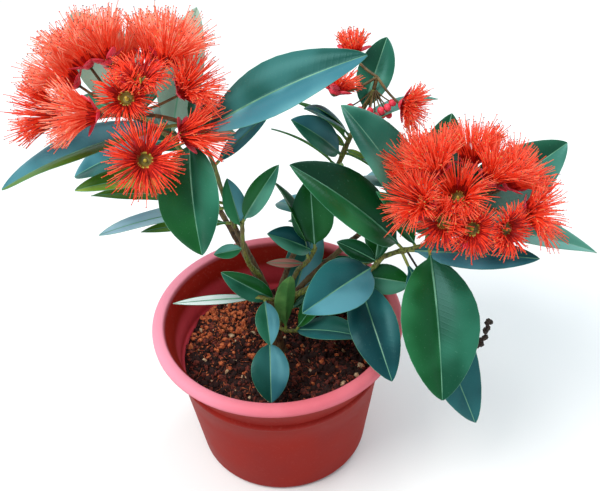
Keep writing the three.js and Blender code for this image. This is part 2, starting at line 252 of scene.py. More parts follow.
# %% The wrapper for sockets
class Socket:
    """An output in a material's node tree."""

    def __init__(self, tree, output=None):
        self.tree = tree
        self.output = output

    def node(self, kind, settings=None, inputs=None, output=0):
        """Adds a node: its settings first, then the values or links of its sockets."""
        added = self.tree.nodes.new("ShaderNode" + kind)
        for name, value in (settings or {}).items():
            setattr(added, name, value)
        for name, value in (inputs or {}).items():
            self.give(added.inputs[name], value)
        return Socket(self.tree, added.outputs[output])

    def give(self, target, value):
        if isinstance(value, Socket):
            self.tree.links.new(value.output, target)
        else:
            target.default_value = value

    def math(self, operation, *values):
        return self.node("Math", {"operation": operation}, dict(enumerate(values)))

    def __add__(self, other):
        return self.math("ADD", self, other)

    def __sub__(self, other):
        return self.math("SUBTRACT", self, other)

    def __rsub__(self, other):
        return self.math("SUBTRACT", other, self)

    def __mul__(self, other):
        return self.math("MULTIPLY", self, other)

    def __pow__(self, other):
        return self.math("POWER", self, other)

    def __abs__(self):
        return self.math("ABSOLUTE", self)

    __radd__ = __add__
    __rmul__ = __mul__


# %% Colours, patterns and the finish itself
def hue(code):
    """A colour written as six hex digits, in the linear values that shaders use."""
    channels = [int(code[i : i + 2], 16) / 255 for i in (0, 2, 4)]
    linear = [c / 12.92 if c <= 0.04045 else ((c + 0.055) / 1.055) ** 2.4 for c in channels]
    return (*linear, 1.0)


def new_material(name):
    """A material with only its Principled shader, and a wrapper to build its nodes with."""
    material = bpy.data.materials.new(name)
    material.use_nodes = True
    return material, Socket(material.node_tree)


def noise(graph, scale, detail=3.0, vector=None):
    """Noise over Object coordinates, from 0 to 1. The scale is in waves to the metre."""
    where = vector or graph.node("TexCoord", output=3)
    return graph.node("TexNoise", {}, {"Vector": where, "Scale": scale, "Detail": detail})


def ramp(graph, value, low, high):
    """0 below low, 1 above high, smooth between."""
    settings = {"interpolation_type": "SMOOTHSTEP"}
    return graph.node("MapRange", settings, {"Value": value, "From Min": low, "From Max": high})


def clouds(graph, scale, low, high, detail=3.0):
    """Noise with its contrast raised: 0 in its low places and 1 in its high ones."""
    return ramp(graph, noise(graph, scale, detail), low, high)


def axes(graph, vector, count=3):
    """The x, y and z of a vector, or the first few of them."""
    return [graph.node("SeparateXYZ", {}, {"Vector": vector}, output=axis) for axis in range(count)]


def blend(graph, factor, first, second):
    """The first colour where the factor is 0 and the second where it is 1."""
    return graph.node("Mix", {"data_type": "RGBA"}, {0: factor, 6: first, 7: second}, output=2)


def dress(material, colour, roughness, height=None, depth=0.0, **constants):
    """Joins a colour, a roughness and a bump height to the Principled shader."""
    graph = Socket(material.node_tree)
    shader = material.node_tree.nodes["Principled BSDF"]
    graph.give(shader.inputs["Base Color"], colour)
    graph.give(shader.inputs["Roughness"], roughness)
    for name, value in constants.items():
        shader.inputs[name.replace("_", " ")].default_value = value
    if height is not None:
        bump = graph.node("Bump", {}, {"Height": height, "Distance": depth * MM, "Strength": 1.0})
        graph.give(shader.inputs["Normal"], bump)
    return material


print("a mid grey is", [round(c, 3) for c in hue("808080")])

# %% [markdown]
# ## The pot's finish
# The pot is moulded in a plastic that is brick red on its wall. Its rolled lip is pink, paler
# towards the left with a painted highlight, and its inside is a lighter crimson, painted light
# against the shade inside the pot. The height and the distance from the middle, both read from
# Object coordinates, say which of these a point belongs to, and x sets the highlight's reach.

# %% Pot plastic
POT_HEIGHT = 135
LIP_RADIUS = 100
LIP_WIDTH = 10
LIP_DEPTH = 9
INNER_WALL_FOOT = 66.5
INNER_WALL_SLOPE = 0.136


def pot_plastic():
    material, graph = new_material("pot_plastic")
    x, y, z = axes(graph, graph.node("TexCoord", output=3))
    radius = (x * x + y * y) ** 0.5
    lip_bottom = (POT_HEIGHT - LIP_DEPTH) * MM
    lip = ramp(graph, z, lip_bottom - 3 * MM, lip_bottom + 5 * MM)
    lip_inner = (LIP_RADIUS - LIP_WIDTH) * MM
    on_lip = lip * ramp(graph, radius, lip_inner - MM, lip_inner + 2 * MM)
    wall_at = INNER_WALL_FOOT * MM + z * INNER_WALL_SLOPE
    inside = 1 - ramp(graph, radius - wall_at, -0.2 * MM, 1.2 * MM)
    inside = inside * ramp(graph, z, 4 * MM, 8 * MM) * (1 - on_lip)
    cloudy = clouds(graph, 22, 0.35, 0.7)
    speckle = clouds(graph, 420, 0.55, 0.75, 2.0)
    body = blend(graph, cloudy, hue("86140A"), hue("901C10"))
    rim = blend(graph, cloudy, hue("D86874"), hue("E07682"))
    # The lip is painted paler towards the left: a painted highlight.
    rim = blend(graph, 1 - ramp(graph, x, -110 * MM, 20 * MM), rim, hue("F298AC"))
    # The inside takes a lighter crimson than the wall: painted light that offsets the shade inside the
    # pot.
    hollow = blend(graph, cloudy, hue("CC404C"), hue("DA4C58"))
    colour = blend(graph, on_lip, body, rim)
    colour = blend(graph, inside, colour, hollow)
    colour = blend(graph, speckle * 0.06, colour, hue("D8988A"))
    roughness = 0.5 + cloudy * 0.1 + speckle * 0.1
    height = noise(graph, 900, 2.0) + cloudy * 0.5
    return dress(material, colour, roughness, height, 0.05, Specular_IOR_Level=0.1)


POT_FINISH = pot_plastic()
print("pot finish nodes:", len(POT_FINISH.node_tree.nodes))

# %% [markdown]
# ## The pot
# A moulded pot is round, so its whole shape is one section turned about its middle. It could
# be spun, but here it is drawn up as a potter does: a circle is filled, then extruded and
# resized ring by ring along the section, out and up to the lip, over it, and down the inside.

# %% The pot's section
BEAD_RADIUS = 84.5
BEAD_HEIGHT = 95
FOOT_RADIUS = 70.5
FOOT_CORNER = 6
WALL = 2.6
FLOOR = 3.2
POT_SIDES = 112


def bend(start, pull, end, steps=6):
    """Points of a rounded stretch, without its start."""
    return [tuple(point) for point in pulled(start, pull, end, np.arange(1, steps + 1) / steps)]


def pot_section():
    """Radius and height of each ring, from the foot, over the lip, to the inner floor."""
    inner = LIP_RADIUS - LIP_WIDTH
    inner_bead = BEAD_RADIUS - WALL - 1.5
    lip_low = POT_HEIGHT - LIP_DEPTH
    rings = [(20, 0.8), (56, 0.8), (58, 0), (FOOT_RADIUS - FOOT_CORNER, 0)]
    rings += bend(rings[-1], (FOOT_RADIUS, 0), (FOOT_RADIUS + 0.6, FOOT_CORNER))
    wall_top = (BEAD_RADIUS - 1.9, BEAD_HEIGHT - 4)
    rings += [tuple(np.array(rings[-1]) * (1 - s) + np.array(wall_top) * s) for s in (0.25, 0.5, 0.75, 1)]
    rings += bend(wall_top, (BEAD_RADIUS + 0.1, BEAD_HEIGHT - 2.5), (BEAD_RADIUS, BEAD_HEIGHT), 4)
    rings += bend(rings[-1], (BEAD_RADIUS, BEAD_HEIGHT + 1.6), (BEAD_RADIUS - 1.5, BEAD_HEIGHT + 3), 4)
    rings += bend(rings[-1], (BEAD_RADIUS + 1, POT_HEIGHT - 22), (LIP_RADIUS - 5, lip_low - 1.2), 9)
    rings += bend(rings[-1], (LIP_RADIUS - 2, lip_low - 1), (LIP_RADIUS - 0.4, lip_low + 1.5), 4)
    rings += bend(rings[-1], (LIP_RADIUS + 0.8, POT_HEIGHT - 0.6), (LIP_RADIUS - 4, POT_HEIGHT), 7)
    rings += bend(rings[-1], (inner + 0.2, POT_HEIGHT - 0.2), (inner, POT_HEIGHT - 3.5), 6)
    rings += bend(rings[-1], (inner_bead + 1, POT_HEIGHT - 16), (inner_bead, BEAD_HEIGHT + 3), 9)
    rings += bend(rings[-1], (inner_bead - 0.2, BEAD_HEIGHT), (inner_bead - 1.5, BEAD_HEIGHT - 1), 3)
    rings += [(FOOT_RADIUS - WALL, FOOT_CORNER + WALL), (FOOT_RADIUS - WALL - 4, FLOOR), (30, FLOOR)]
    return rings


print("pot rings:", len(pot_section()))

# %% Turning a section
def turned(name, rings, sides):
    """A closed round piece, extruded ring by ring from a filled circle."""
    bpy.ops.object.select_all(action="DESELECT")
    radius, height = rings[0]
    place = (0, 0, height * MM)
    bpy.ops.mesh.primitive_circle_add(vertices=sides, radius=radius * MM, fill_type="NGON", location=place)
    piece = bpy.context.object
    piece.name = name
    bpy.ops.object.transform_apply(location=True, rotation=True, scale=True)
    bpy.ops.object.mode_set(mode="EDIT")
    bpy.ops.mesh.select_all(action="SELECT")
    for next_radius, next_height in rings[1:]:
        rise = {"value": (0, 0, (next_height - height) * MM)}
        bpy.ops.mesh.extrude_region_move(TRANSFORM_OT_translate=rise)
        scale = next_radius / radius
        bpy.ops.transform.resize(value=(scale, scale, 1), center_override=(0, 0, next_height * MM))
        radius, height = next_radius, next_height
    bpy.ops.mesh.select_all(action="SELECT")
    bpy.ops.mesh.normals_make_consistent(inside=False)
    bpy.ops.object.mode_set(mode="OBJECT")
    bpy.ops.object.shade_smooth_by_angle(angle=math.radians(40))
    return piece


def settle(piece, slot, *nodes):
    """The piece rides on the plant's body and stands for its solids, which it hides; the slot is not used.
    """
    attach(piece, "root")
    if nodes:
        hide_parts(*nodes)
    print(f"{piece.name}: {triangles(piece)} triangles")


def roughen(piece, name, size, strength, direction="NORMAL", group=""):
    """Raises and lowers a mesh by soft lumps of a size, both in millimetres."""
    lumps = bpy.data.textures.new(name, "CLOUDS")
    lumps.noise_scale = size * MM
    rough = piece.modifiers.new("rough", "DISPLACE")
    rough.texture = lumps
    rough.texture_coords = "LOCAL"
    rough.direction = direction
    rough.strength = strength * MM
    rough.vertex_group = group
    bpy.ops.object.modifier_apply(modifier="rough")


pot = turned("nursery_pot", pot_section(), POT_SIDES)
pot.data.materials.append(POT_FINISH)
settle(pot, "pot_plastic", "pot")

# %% [markdown]
# ## Potting mix
# The mix is chopped coir and bark: dark and damp all round, and dry and orange on the mound
# behind on the left. Three things make it up: a lumpy ground, thousands of crumbs on it, and
# brown and orange fibres. The ground is turned like the pot, then its top is raised to the
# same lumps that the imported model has, and two Displace modifiers roughen it.

# %% The ground of the mix
SOIL_LEVEL = 91
SOIL_PATCH = 13
SOIL_LUMP = 2.2
SOIL_SETTLE = 2.5
SOIL_EDGE = 78.2
MOUND_HEIGHT = 8
MOUND_REACH = 38
MOUND_AT = (-46, 38)
MIX_SIDES = 128
MIX_RINGS = 46
# Radius and height of the rings below the top, out of sight.
MIX_FOOT = [(30, 4), (60, 4), (68.5, 12), (77.0, 80)]
# Size and strength of the coarse grain and of the fine one.
MIX_GRAINS = ((7, 3.0), (2.6, 2.2))


def mound_share(x, y):
    return np.exp(-(np.hypot(x - MOUND_AT[0], y - MOUND_AT[1]) / MOUND_REACH) ** 2)


def soil_height(x, y):
    """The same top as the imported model's: flat under the trunk, lumpy round it, with a mound."""
    patch = smoothstep(np.hypot(x, y), SOIL_PATCH, 2 * SOIL_PATCH)
    lumps = np.sin(x * 0.17 + 1) * np.cos(y * 0.14) + 0.6 * np.sin(x * 0.31 + y * 0.27)
    return SOIL_LEVEL + patch * (MOUND_HEIGHT * mound_share(x, y) - SOIL_SETTLE + SOIL_LUMP * lumps)


def mix_ground():
    top_rings = [(radius, SOIL_LEVEL) for radius in np.linspace(SOIL_EDGE, 2, MIX_RINGS)]
    ground = turned("mix_ground", MIX_FOOT + top_rings, MIX_SIDES)
    top = ground.vertex_groups.new(name="top")
    for vertex in ground.data.vertices:
        if vertex.co.z > (SOIL_LEVEL - 1) * MM:
            x, y = vertex.co.x / MM, vertex.co.y / MM
            vertex.co.z = soil_height(x, y) * MM
            top.add([vertex.index], 1.0, "REPLACE")
    for size, strength in MIX_GRAINS:
        roughen(ground, "mix_grain", size, strength, "Z", "top")
    return ground


ground = mix_ground()
print("the mix's top is about", SOIL_LEVEL, "mm up")

# %% [markdown]
# ## Crumbs and fibres
# Each crumb is a twelve-cornered lump, squashed and turned at random, and most sit partly in
# the ground. A crumb's colour is dealt out by its place: mostly orange on the mound and mostly
# dark brown elsewhere, with a few pale chips. The fibres are short bent threads that lie on
# top.

# %% Finishes of the mix
def crumb_finish(name, dark, light):
    material, graph = new_material(name)
    colour = blend(graph, clouds(graph, 600, 0.35, 0.65), hue(dark), hue(light))
    return dress(material, colour, 0.9, noise(graph, 1500, 4.0), 0.5)


MIX_FINISHES = [
    crumb_finish("mix_black", "160605", "341009"),
    crumb_finish("mix_brown", "3E140C", "7E3426"),
    crumb_finish("mix_orange", "9A3A1A", "D87A48"),
    crumb_finish("mix_pale", "B08A68", "DCBC98"),
]
ground.data.materials.append(MIX_FINISHES[0])
settle(ground, "potting_mix", "soil")

# %% Crumbs
CRUMB_COUNT = 5200
CRUMB_MARGIN = 1.6
SMALLEST_CRUMB = 0.6
CRUMB_GROWTH = 2.6
CRUMB_SQUASH = (0.45, 1.45)
CRUMB_LUMPS = (0.85, 1.15)
CRUMB_LIFT = (0.2, 1.4)


def crumb_shape():
    """The corners and faces of an icosahedron."""
    g = (1 + math.sqrt(5)) / 2
    corners = [[-1, g, 0], [1, g, 0], [-1, -g, 0], [1, -g, 0], [0, -1, g], [0, 1, g]]
    corners += [[0, -1, -g], [0, 1, -g], [g, 0, -1], [g, 0, 1], [-g, 0, -1], [-g, 0, 1]]
    faces = [[0, 11, 5], [0, 5, 1], [0, 1, 7], [0, 7, 10], [0, 10, 11]]
    faces += [[1, 5, 9], [5, 11, 4], [11, 10, 2], [10, 7, 6], [7, 1, 8]]
    faces += [[3, 9, 4], [3, 4, 2], [3, 2, 6], [3, 6, 8], [3, 8, 9]]
    faces += [[4, 9, 5], [2, 4, 11], [6, 2, 10], [8, 6, 7], [9, 8, 1]]
    return np.array(corners) / math.hypot(1, g), faces


def random_turn(dice):
    """A turn in any direction, as a matrix."""
    w, x, y, z = unit(dice.normal(size=4))
    return np.array([
        [1 - 2 * (y * y + z * z), 2 * (x * y - w * z), 2 * (x * z + w * y)],
        [2 * (x * y + w * z), 1 - 2 * (x * x + z * z), 2 * (y * z - w * x)],
        [2 * (x * z - w * y), 2 * (y * z + w * x), 1 - 2 * (x * x + y * y)],
    ])


# Shares of all crumbs. The orange share is that off the mound, then what the mound adds.
PALE_SHARE = 0.028
ORANGE_SHARES = (0.05, 0.78)


def crumb_colour(dice, x, y):
    """Which finish a crumb gets, dealt out by how far up the mound it lies."""
    orange = ORANGE_SHARES[0] + ORANGE_SHARES[1] * mound_share(x, y) ** 1.3
    draw = dice.random()
    if draw < PALE_SHARE:
        return 3
    if draw < PALE_SHARE + orange:
        return 2
    return 1 if dice.random() < 0.4 + 0.4 * mound_share(x, y) else 0


def mix_spot(dice, margin):
    """A random x and y on the mix, evenly spread, at least a margin inside its edge."""
    radius = (SOIL_EDGE - margin) * math.sqrt(dice.random())
    angle = dice.random() * 2 * math.pi
    return radius * math.cos(angle), radius * math.sin(angle)


def crumbs():
    dice = np.random.default_rng(5)
    shape, faces = crumb_shape()
    parts = []
    for _ in range(CRUMB_COUNT):
        x, y = mix_spot(dice, CRUMB_MARGIN)
        size = SMALLEST_CRUMB + CRUMB_GROWTH * dice.random() ** 4
        stretch = dice.uniform(*CRUMB_SQUASH, 3) * size
        points = (shape * stretch * dice.uniform(*CRUMB_LUMPS, (12, 1))) @ random_turn(dice).T
        middle = [x, y, soil_height(x, y) + dice.uniform(*CRUMB_LIFT)]
        finish = crumb_colour(dice, x, y)
        parts.append(Part(points + middle, faces, [finish] * len(faces)))
    return joined_piece("mix_crumbs", parts, MIX_FINISHES)


settle(crumbs(), "potting_mix", "soil")

# %% Fibres
FIBRE_COUNT = 420
FIBRE_MARGIN = 8
FIBRE_BOW = 50
FIBRE_LENGTHS = (4, 11)
FIBRE_STEPS = 4
FIBRE_LIFT = 1.2
FIBRE_RADII = [0.12, 0.25, 0.28, 0.25, 0.1]


def fibres():
    dice = np.random.default_rng(9)
    parts = []
    for _ in range(FIBRE_COUNT):
        x, y = mix_spot(dice, FIBRE_MARGIN)
        heading = dice.uniform(0, 360)
        bow = dice.uniform(-FIBRE_BOW, FIBRE_BOW)
        length = dice.uniform(*FIBRE_LENGTHS)
        points = [np.array([x, y, 0.0])]
        for step in range(FIBRE_STEPS):
            way = direction(heading + bow * step / FIBRE_STEPS, 0)
            points.append(points[-1] + way * length / FIBRE_STEPS)
        points = np.array(points)
        lift = FIBRE_LIFT + dice.uniform(0, FIBRE_LIFT, len(points))
        points[:, 2] = soil_height(points[:, 0], points[:, 1]) + lift
        finish = 2 if dice.random() < 0.3 + 0.6 * mound_share(x, y) else 1
        parts.append(tube(points, FIBRE_RADII, 3, finish))
    return joined_piece("mix_fibres", parts, MIX_FINISHES)


settle(fibres(), "potting_mix", "soil")

# %% [markdown]
# ## Bark
# The trunk and the older boughs have thin brown bark with fine upright cracks. Young growth is
# still olive green. The cracks are noise that is drawn out upwards, so that it runs along a
# standing stem, and the bark's real relief is in the mesh.

# %% Bark finishes
def bark_finish(name, low, high, tip, rough=0.75):
    material, graph = new_material(name)
    where = graph.node("TexCoord", output=3)
    squeeze = graph.node("Mapping", {}, {"Vector": where, "Scale": (1.0, 1.0, 0.22)})
    cracks = noise(graph, 900, 5.0, squeeze)
    patches = clouds(graph, 120, 0.4, 0.62)
    colour = blend(graph, ramp(graph, cracks, 0.36, 0.66), hue(low), hue(high))
    colour = blend(graph, patches * 0.55, colour, hue(tip))
    return dress(material, colour, rough, cracks, 0.35)


BARK_BROWN = bark_finish("bark_brown", "2A1A10", "6B4A2C", "7B6A44")
BARK_OLIVE = bark_finish("bark_olive", "3A3C14", "76802E", "70582A", 0.55)
print("two bark finishes")

# %% [markdown]
# ## Trunk and boughs
# A limb is a curve with a thickness at each point: it tapers, swells where it leaves another
# limb and has a slight knuckle at each old leaf scar. The curve is turned into a mesh, its
# ends are closed, and a Displace modifier gives it relief. The trunk widens at its foot in
# five low lobes, which the mesh gets last.

# %% A limb from a curve
LIMB_STEPS = 56
COLLAR = 0.35
COLLAR_REACH = 4.0
KNUCKLE = 0.28
KNUCKLE_REACH = 1.6
RELIEF_SIZE = 2.4
RELIEF_DEPTH = 0.55


def limb_radii(path, ends, scars, flare=0.0, flare_reach=1.0):
    """The radius at each step: taper, collar, knuckles at the scars, and flare at the foot."""
    shares = np.linspace(0, 1, LIMB_STEPS)
    points = along_path(path, shares)
    run = run_along(points)
    radii = ends[0] + (ends[1] - ends[0]) * shares
    radii = radii * (1 + COLLAR * np.exp(-run / COLLAR_REACH))
    for scar in scars:
        radii += KNUCKLE * np.exp(-(((run - scar * run[-1]) / KNUCKLE_REACH) ** 2))
    return points, radii + flare * np.exp(-shares / flare_reach)


def limb_piece(name, points, radii, material):
    """A curve with the radii at its points, made a closed mesh and roughened."""
    bpy.ops.object.select_all(action="DESELECT")
    bpy.ops.curve.primitive_bezier_curve_add()
    piece = bpy.context.object
    piece.name = name
    curve = piece.data
    curve.splines.clear()
    spline = curve.splines.new("POLY")
    spline.points.add(len(points) - 1)
    for knot, point, radius in zip(spline.points, points * MM, radii):
        knot.co = (*point, 1.0)
        knot.radius = radius
    curve.bevel_depth = MM
    curve.bevel_resolution = 5
    curve.use_fill_caps = True
    bpy.ops.object.convert(target="MESH")
    bpy.ops.object.mode_set(mode="EDIT")
    bpy.ops.mesh.select_all(action="SELECT")
    bpy.ops.mesh.remove_doubles(threshold=1e-6)
    bpy.ops.mesh.subdivide(number_cuts=1)
    bpy.ops.mesh.normals_make_consistent(inside=False)
    bpy.ops.object.mode_set(mode="OBJECT")
    roughen(piece, "bark_relief", RELIEF_SIZE, RELIEF_DEPTH)
    bpy.ops.object.shade_smooth()
    piece.data.materials.clear()
    piece.data.materials.append(material)
    return piece


print("limbs have", LIMB_STEPS, "rings")

# %% The trunk, with its root flare
TRUNK_RADII = (4.8, 3.6)
FLARE_WIDTH = 3.4
FLARE_REACH = 0.16
FLARE_LOBES = 5
LOBE_SHARE = 0.3
TRUNK_SCARS = (0.34, 0.52, 0.66, 0.8)
TRUNK_PATH = [[-1, 2, SOIL_LEVEL - 3], [-2, 1, 112], [-4, -1, 134], [-2, -1, 153]]


def trunk():
    flare = (1 - LOBE_SHARE) * FLARE_WIDTH
    points, radii = limb_radii(TRUNK_PATH, TRUNK_RADII, TRUNK_SCARS, flare, FLARE_REACH)
    piece = limb_piece("trunk_bark", points, radii, BARK_BROWN)
    top = TRUNK_PATH[-1][2] - TRUNK_PATH[0][2]
    for vertex in piece.data.vertices:
        share = (vertex.co.z / MM - TRUNK_PATH[0][2]) / top
        x, y = vertex.co.x / MM - TRUNK_PATH[0][0], vertex.co.y / MM - TRUNK_PATH[0][1]
        lobe = LOBE_SHARE * FLARE_WIDTH * math.exp(-max(share, 0) / FLARE_REACH)
        push = lobe * math.cos(FLARE_LOBES * math.atan2(y, x)) / max(math.hypot(x, y), 1)
        vertex.co.x += x * push * MM
        vertex.co.y += y * push * MM
    return piece


settle(trunk(), "bark", "trunk")

# %% The boughs
MAIN_RADII = (2.6, 1.9)
BACK_RADII = (2.4, 1.9)
REAR_RADII = (2.5, 2.0)
TWIG_RADII = (1.9, 1.7)
# A bough is the radii at its two ends and its path.
BOUGHS = {
    "left_bough": (MAIN_RADII, [[-3, -1, 150], [-11, -2, 178], [-19, -4, 204], [-26, -7, 230]]),
    "right_bough": (MAIN_RADII, [[-3, -1, 144], [24, -7, 166], [58, -11, 190], [92, -13, 206]]),
    "back_bough": (BACK_RADII, [[-3, -1, 140], [12, 14, 176], [32, 26, 216], [48, 33, 244]]),
    "centre_bough": (TWIG_RADII, [[8, -3, 152], [12, -3, 168], [18, -2, 182]]),
    "inner_left_bough": (TWIG_RADII, [[-11, -2, 178], [-17, -9, 194], [-19, -17, 210]]),
    "rear_left_bough": (REAR_RADII, [[-3, 0, 136], [-18, 18, 168], [-38, 38, 204], [-56, 52, 236]]),
    "rear_right_bough": (REAR_RADII, [[-3, 0, 128], [22, 18, 150], [56, 32, 176], [86, 40, 198]]),
}
OLIVE_BOUGHS = ("right_bough", "centre_bough", "inner_left_bough")
BOUGH_SCARS = (0.2, 0.36, 0.55, 0.74, 0.9)

for bough, (ends, path) in BOUGHS.items():
    bark = BARK_OLIVE if bough in OLIVE_BOUGHS else BARK_BROWN
    bough_points, bough_radii = limb_radii(path, ends, BOUGH_SCARS)
    settle(limb_piece(bough + "_bark", bough_points, bough_radii, bark), "bark", bough)

# %% [markdown]
# ## Leaf finishes
# A penda leaf is thick, smooth and glossy. Its upper side runs from a dark green to blue greens;
# the lighter, bluer ones are the sky's sheen painted into the base colour, and silver is a
# painted highlight. Young leaves are yellow green, those behind the left head are a pale sage,
# the underside is a paler olive, and the midrib is pale. Each of these is a plain base colour of
# its own with soft clouding in it, and each half of a leaf gets one. The side veins are only a
# bump, which follows the leaf by its UV map: millimetres across the blade and along it.

# %% Upper sides, undersides, midribs and stalks
VEIN_SPACING = 4.2
VEIN_SLANT = 0.62


def vein_height(graph):
    """Low ridges that leave the midrib at a slant, read from the leaf's own UV map."""
    across, along = axes(graph, graph.node("UVMap", {"uv_map": "place"}), 2)
    wave = (along - abs(across) * VEIN_SLANT) * (math.pi / VEIN_SPACING)
    ridge = abs(wave.math("SINE", wave))
    return ridge ** 14


LEAF_SHEEN = (0.42, 0.86, 0.88, 1.0)


def leaf_top(name, deep, bright):
    material, graph = new_material(name)
    soft = clouds(graph, 24, 0.38, 0.64, 1.5)
    colour = blend(graph, soft, hue(deep), hue(bright))
    fleck = clouds(graph, 700, 0.66, 0.74, 2.0)
    colour = blend(graph, fleck * 0.12, colour, hue("6FA58C"))
    roughness = 0.34 + soft * 0.1 + fleck * 0.15
    height = vein_height(graph) + noise(graph, 1100, 2.0) * 0.5
    sheen = {"Specular_Tint": LEAF_SHEEN, "Specular_IOR_Level": 0.34}
    return dress(material, colour, roughness, height, 0.025, **sheen)


def leaf_plain(name, deep, bright, roughness):
    material, graph = new_material(name)
    soft = clouds(graph, 60, 0.38, 0.64)
    colour = blend(graph, soft, hue(deep), hue(bright))
    return dress(material, colour, roughness, noise(graph, 800), 0.08)


# Painted sky sheen: teal, mist, blue, sky and haze are lighter, bluer greens that stand for the sky's
# reflection; silver is a painted highlight.
TINTS = {
    "night": leaf_top("leaf_night", "052E0F", "0C4420"),
    "forest": leaf_top("leaf_forest", "08400C", "16581C"),
    "green": leaf_top("leaf_green", "0E4A1C", "2A7444"),
    "leafy": leaf_top("leaf_leafy", "0E442A", "286A50"),
    "teal": leaf_top("leaf_teal", "1E5A46", "4C8C76"),
    "mist": leaf_top("leaf_mist", "347260", "64A494"),
    "deep": leaf_top("leaf_deep", "08363A", "205E60"),
    "dusk": leaf_top("leaf_dusk", "0E443A", "2C6460"),
    "blue": leaf_top("leaf_blue", "2A626C", "56929E"),
    "sky": leaf_top("leaf_sky", "3A7480", "68A2A8"),
    "haze": leaf_top("leaf_haze", "7C9CAE", "A0BECC"),
    "olive": leaf_top("leaf_olive", "3A5E14", "5A7E2C"),
    "young": leaf_top("leaf_young", "6A8A2A", "9CB250"),
    "rosy": leaf_top("leaf_rosy", "8A3A34", "B8786C"),
    "silver": leaf_top("leaf_silver", "A4B4B0", "D2DCD8"),
    "sage": leaf_top("leaf_sage", "76907E", "9AAC9A"),
}
TINT_ORDER = list(TINTS)
LEAF_FINISHES = [
    *TINTS.values(),
    leaf_plain("leaf_under", "3E7434", "5E9048", 0.5),
    leaf_plain("leaf_midrib", "447F62", "66A080", 0.4),
    leaf_plain("leaf_margin", "3E7E60", "5A9A78", 0.4),
    leaf_plain("leaf_stalk", "6E7A2C", "8E9444", 0.5),
]
UNDER, MIDRIB, MARGIN, STALK = range(len(TINTS), len(TINTS) + 4)
print("leaf finishes:", [material.name for material in LEAF_FINISHES])

# %% [markdown]
# ## One leaf
# A leaf is a row of rings. Each ring runs over the top of the blade from margin to margin and
# back below it. Near the stem the ring is round, for the stalk, and it opens into the blade.
# The two halves fold up from the midrib and each arches a little, the midrib stands proud
# above and as a keel below, and the margins wave. The length, turn, bow, fold and outline are
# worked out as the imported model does. Most leaves keep their place in it, and a few that show
# beside the flowers are aimed anew.

# %% The rings of a leaf
STALK_SHARE = 0.09
STALK_RADIUS = 1.15
STALK_BLEND = (0.06, 0.17)
TIP_WIDTH = 0.5
WIDTH_SHARE = 0.47
FOLD_ANGLE = math.radians(18)
CURL_ANGLE = math.radians(26)
BLADE_THICKNESS = 0.42
MARGIN_WIDTH = 0.28
MARGIN_WAVES = (1.2, 2.2)
WAVE_HEIGHTS = (0.3, 0.8)
MIDRIB_HALF = 0.75
MIDRIB_TAPER = 0.68
MIDRIB_RAISED = np.array([0.16, -0.1, 0, 0, 0, 0, 0])
KEEL_DEPTHS = np.array([0.85, 0.35, 0, 0, 0])
KEEL_TAPER = 0.72
ARCH = 0.1
MARGIN_DROP = 0.05
LEAF_STATIONS = np.array(
    [0, 0.03, 0.06, 0.085, 0.11, 0.14, 0.175, 0.22, 0.28, 0.35, 0.42, 0.5, 0.58, 0.66, 0.74]
    + [0.81, 0.87, 0.92, 0.955, 0.98, 0.994, 1]
)
BLADE_COLUMNS = np.array([0, 0.06, 0.28, 0.52, 0.76])


def half_width(share, length, breadth):
    """Half of the blade's width: nearly an ellipse, past the stalk."""
    blade = np.clip((share - STALK_SHARE) / (1 - STALK_SHARE), 0, 1)
    swell = np.sin(math.pi * blade**0.92) ** 0.72
    return np.maximum(TIP_WIDTH, breadth * length / 2 * swell)


def ring_section(share, half, length, wave):
    """Across and up places of one ring, from the left margin over the top and back below."""
    rib = min(MIDRIB_HALF * (1 - MIDRIB_TAPER * share) * (length / 100) ** 0.4, half * 0.5)
    margin = max(half - MARGIN_WIDTH, half * 0.8)
    side = np.concatenate([rib + (margin - rib) * BLADE_COLUMNS, [margin, half]])
    reach = side / half
    arch = half * (ARCH * np.sin(math.pi * np.clip(reach, 0, 1)) - MARGIN_DROP * reach**4)
    middle = side * math.tan(FOLD_ANGLE) + arch + MIDRIB_RAISED
    lifts = [middle + wave * hand * reach**3 for hand in (-1, 1)]
    keel = KEEL_DEPTHS * (1 - KEEL_TAPER * share) * (length / 100) ** 0.3
    top_x = np.concatenate([-side[::-1], side])
    top_z = np.concatenate([lifts[0][::-1], lifts[1]])
    low_x = np.concatenate([side[-2::-1], -side[:-1]])
    thick = BLADE_THICKNESS + np.concatenate([keel, [0]])
    low_z = np.concatenate([(lifts[1][:-1] - thick)[::-1], lifts[0][:-1] - thick])
    return np.concatenate([top_x, low_x]), np.concatenate([top_z, low_z])


def stalk_section(count):
    """The same number of places round a stalk, starting at its left."""
    top = count // 2 + 1
    angles = np.concatenate([
        np.linspace(math.pi, 0, top),
        -np.linspace(0, math.pi, count - top + 2)[1:-1],
    ])
    return STALK_RADIUS * np.cos(angles), STALK_RADIUS * np.sin(angles)


print("points round a leaf ring:", len(ring_section(0.5, 20, 100, 0)[0]))

# %% The whole leaf
def leaf_frame(heading, rise, roll):
    """The leaf's way, its upper side and its width, turned about its way by the roll."""
    along = direction(heading, rise)
    up = direction(heading, rise + 90)
    turn = math.radians(roll)
    up = up * math.cos(turn) + np.cross(along, up) * math.sin(turn)
    return along, up, np.cross(along, up)


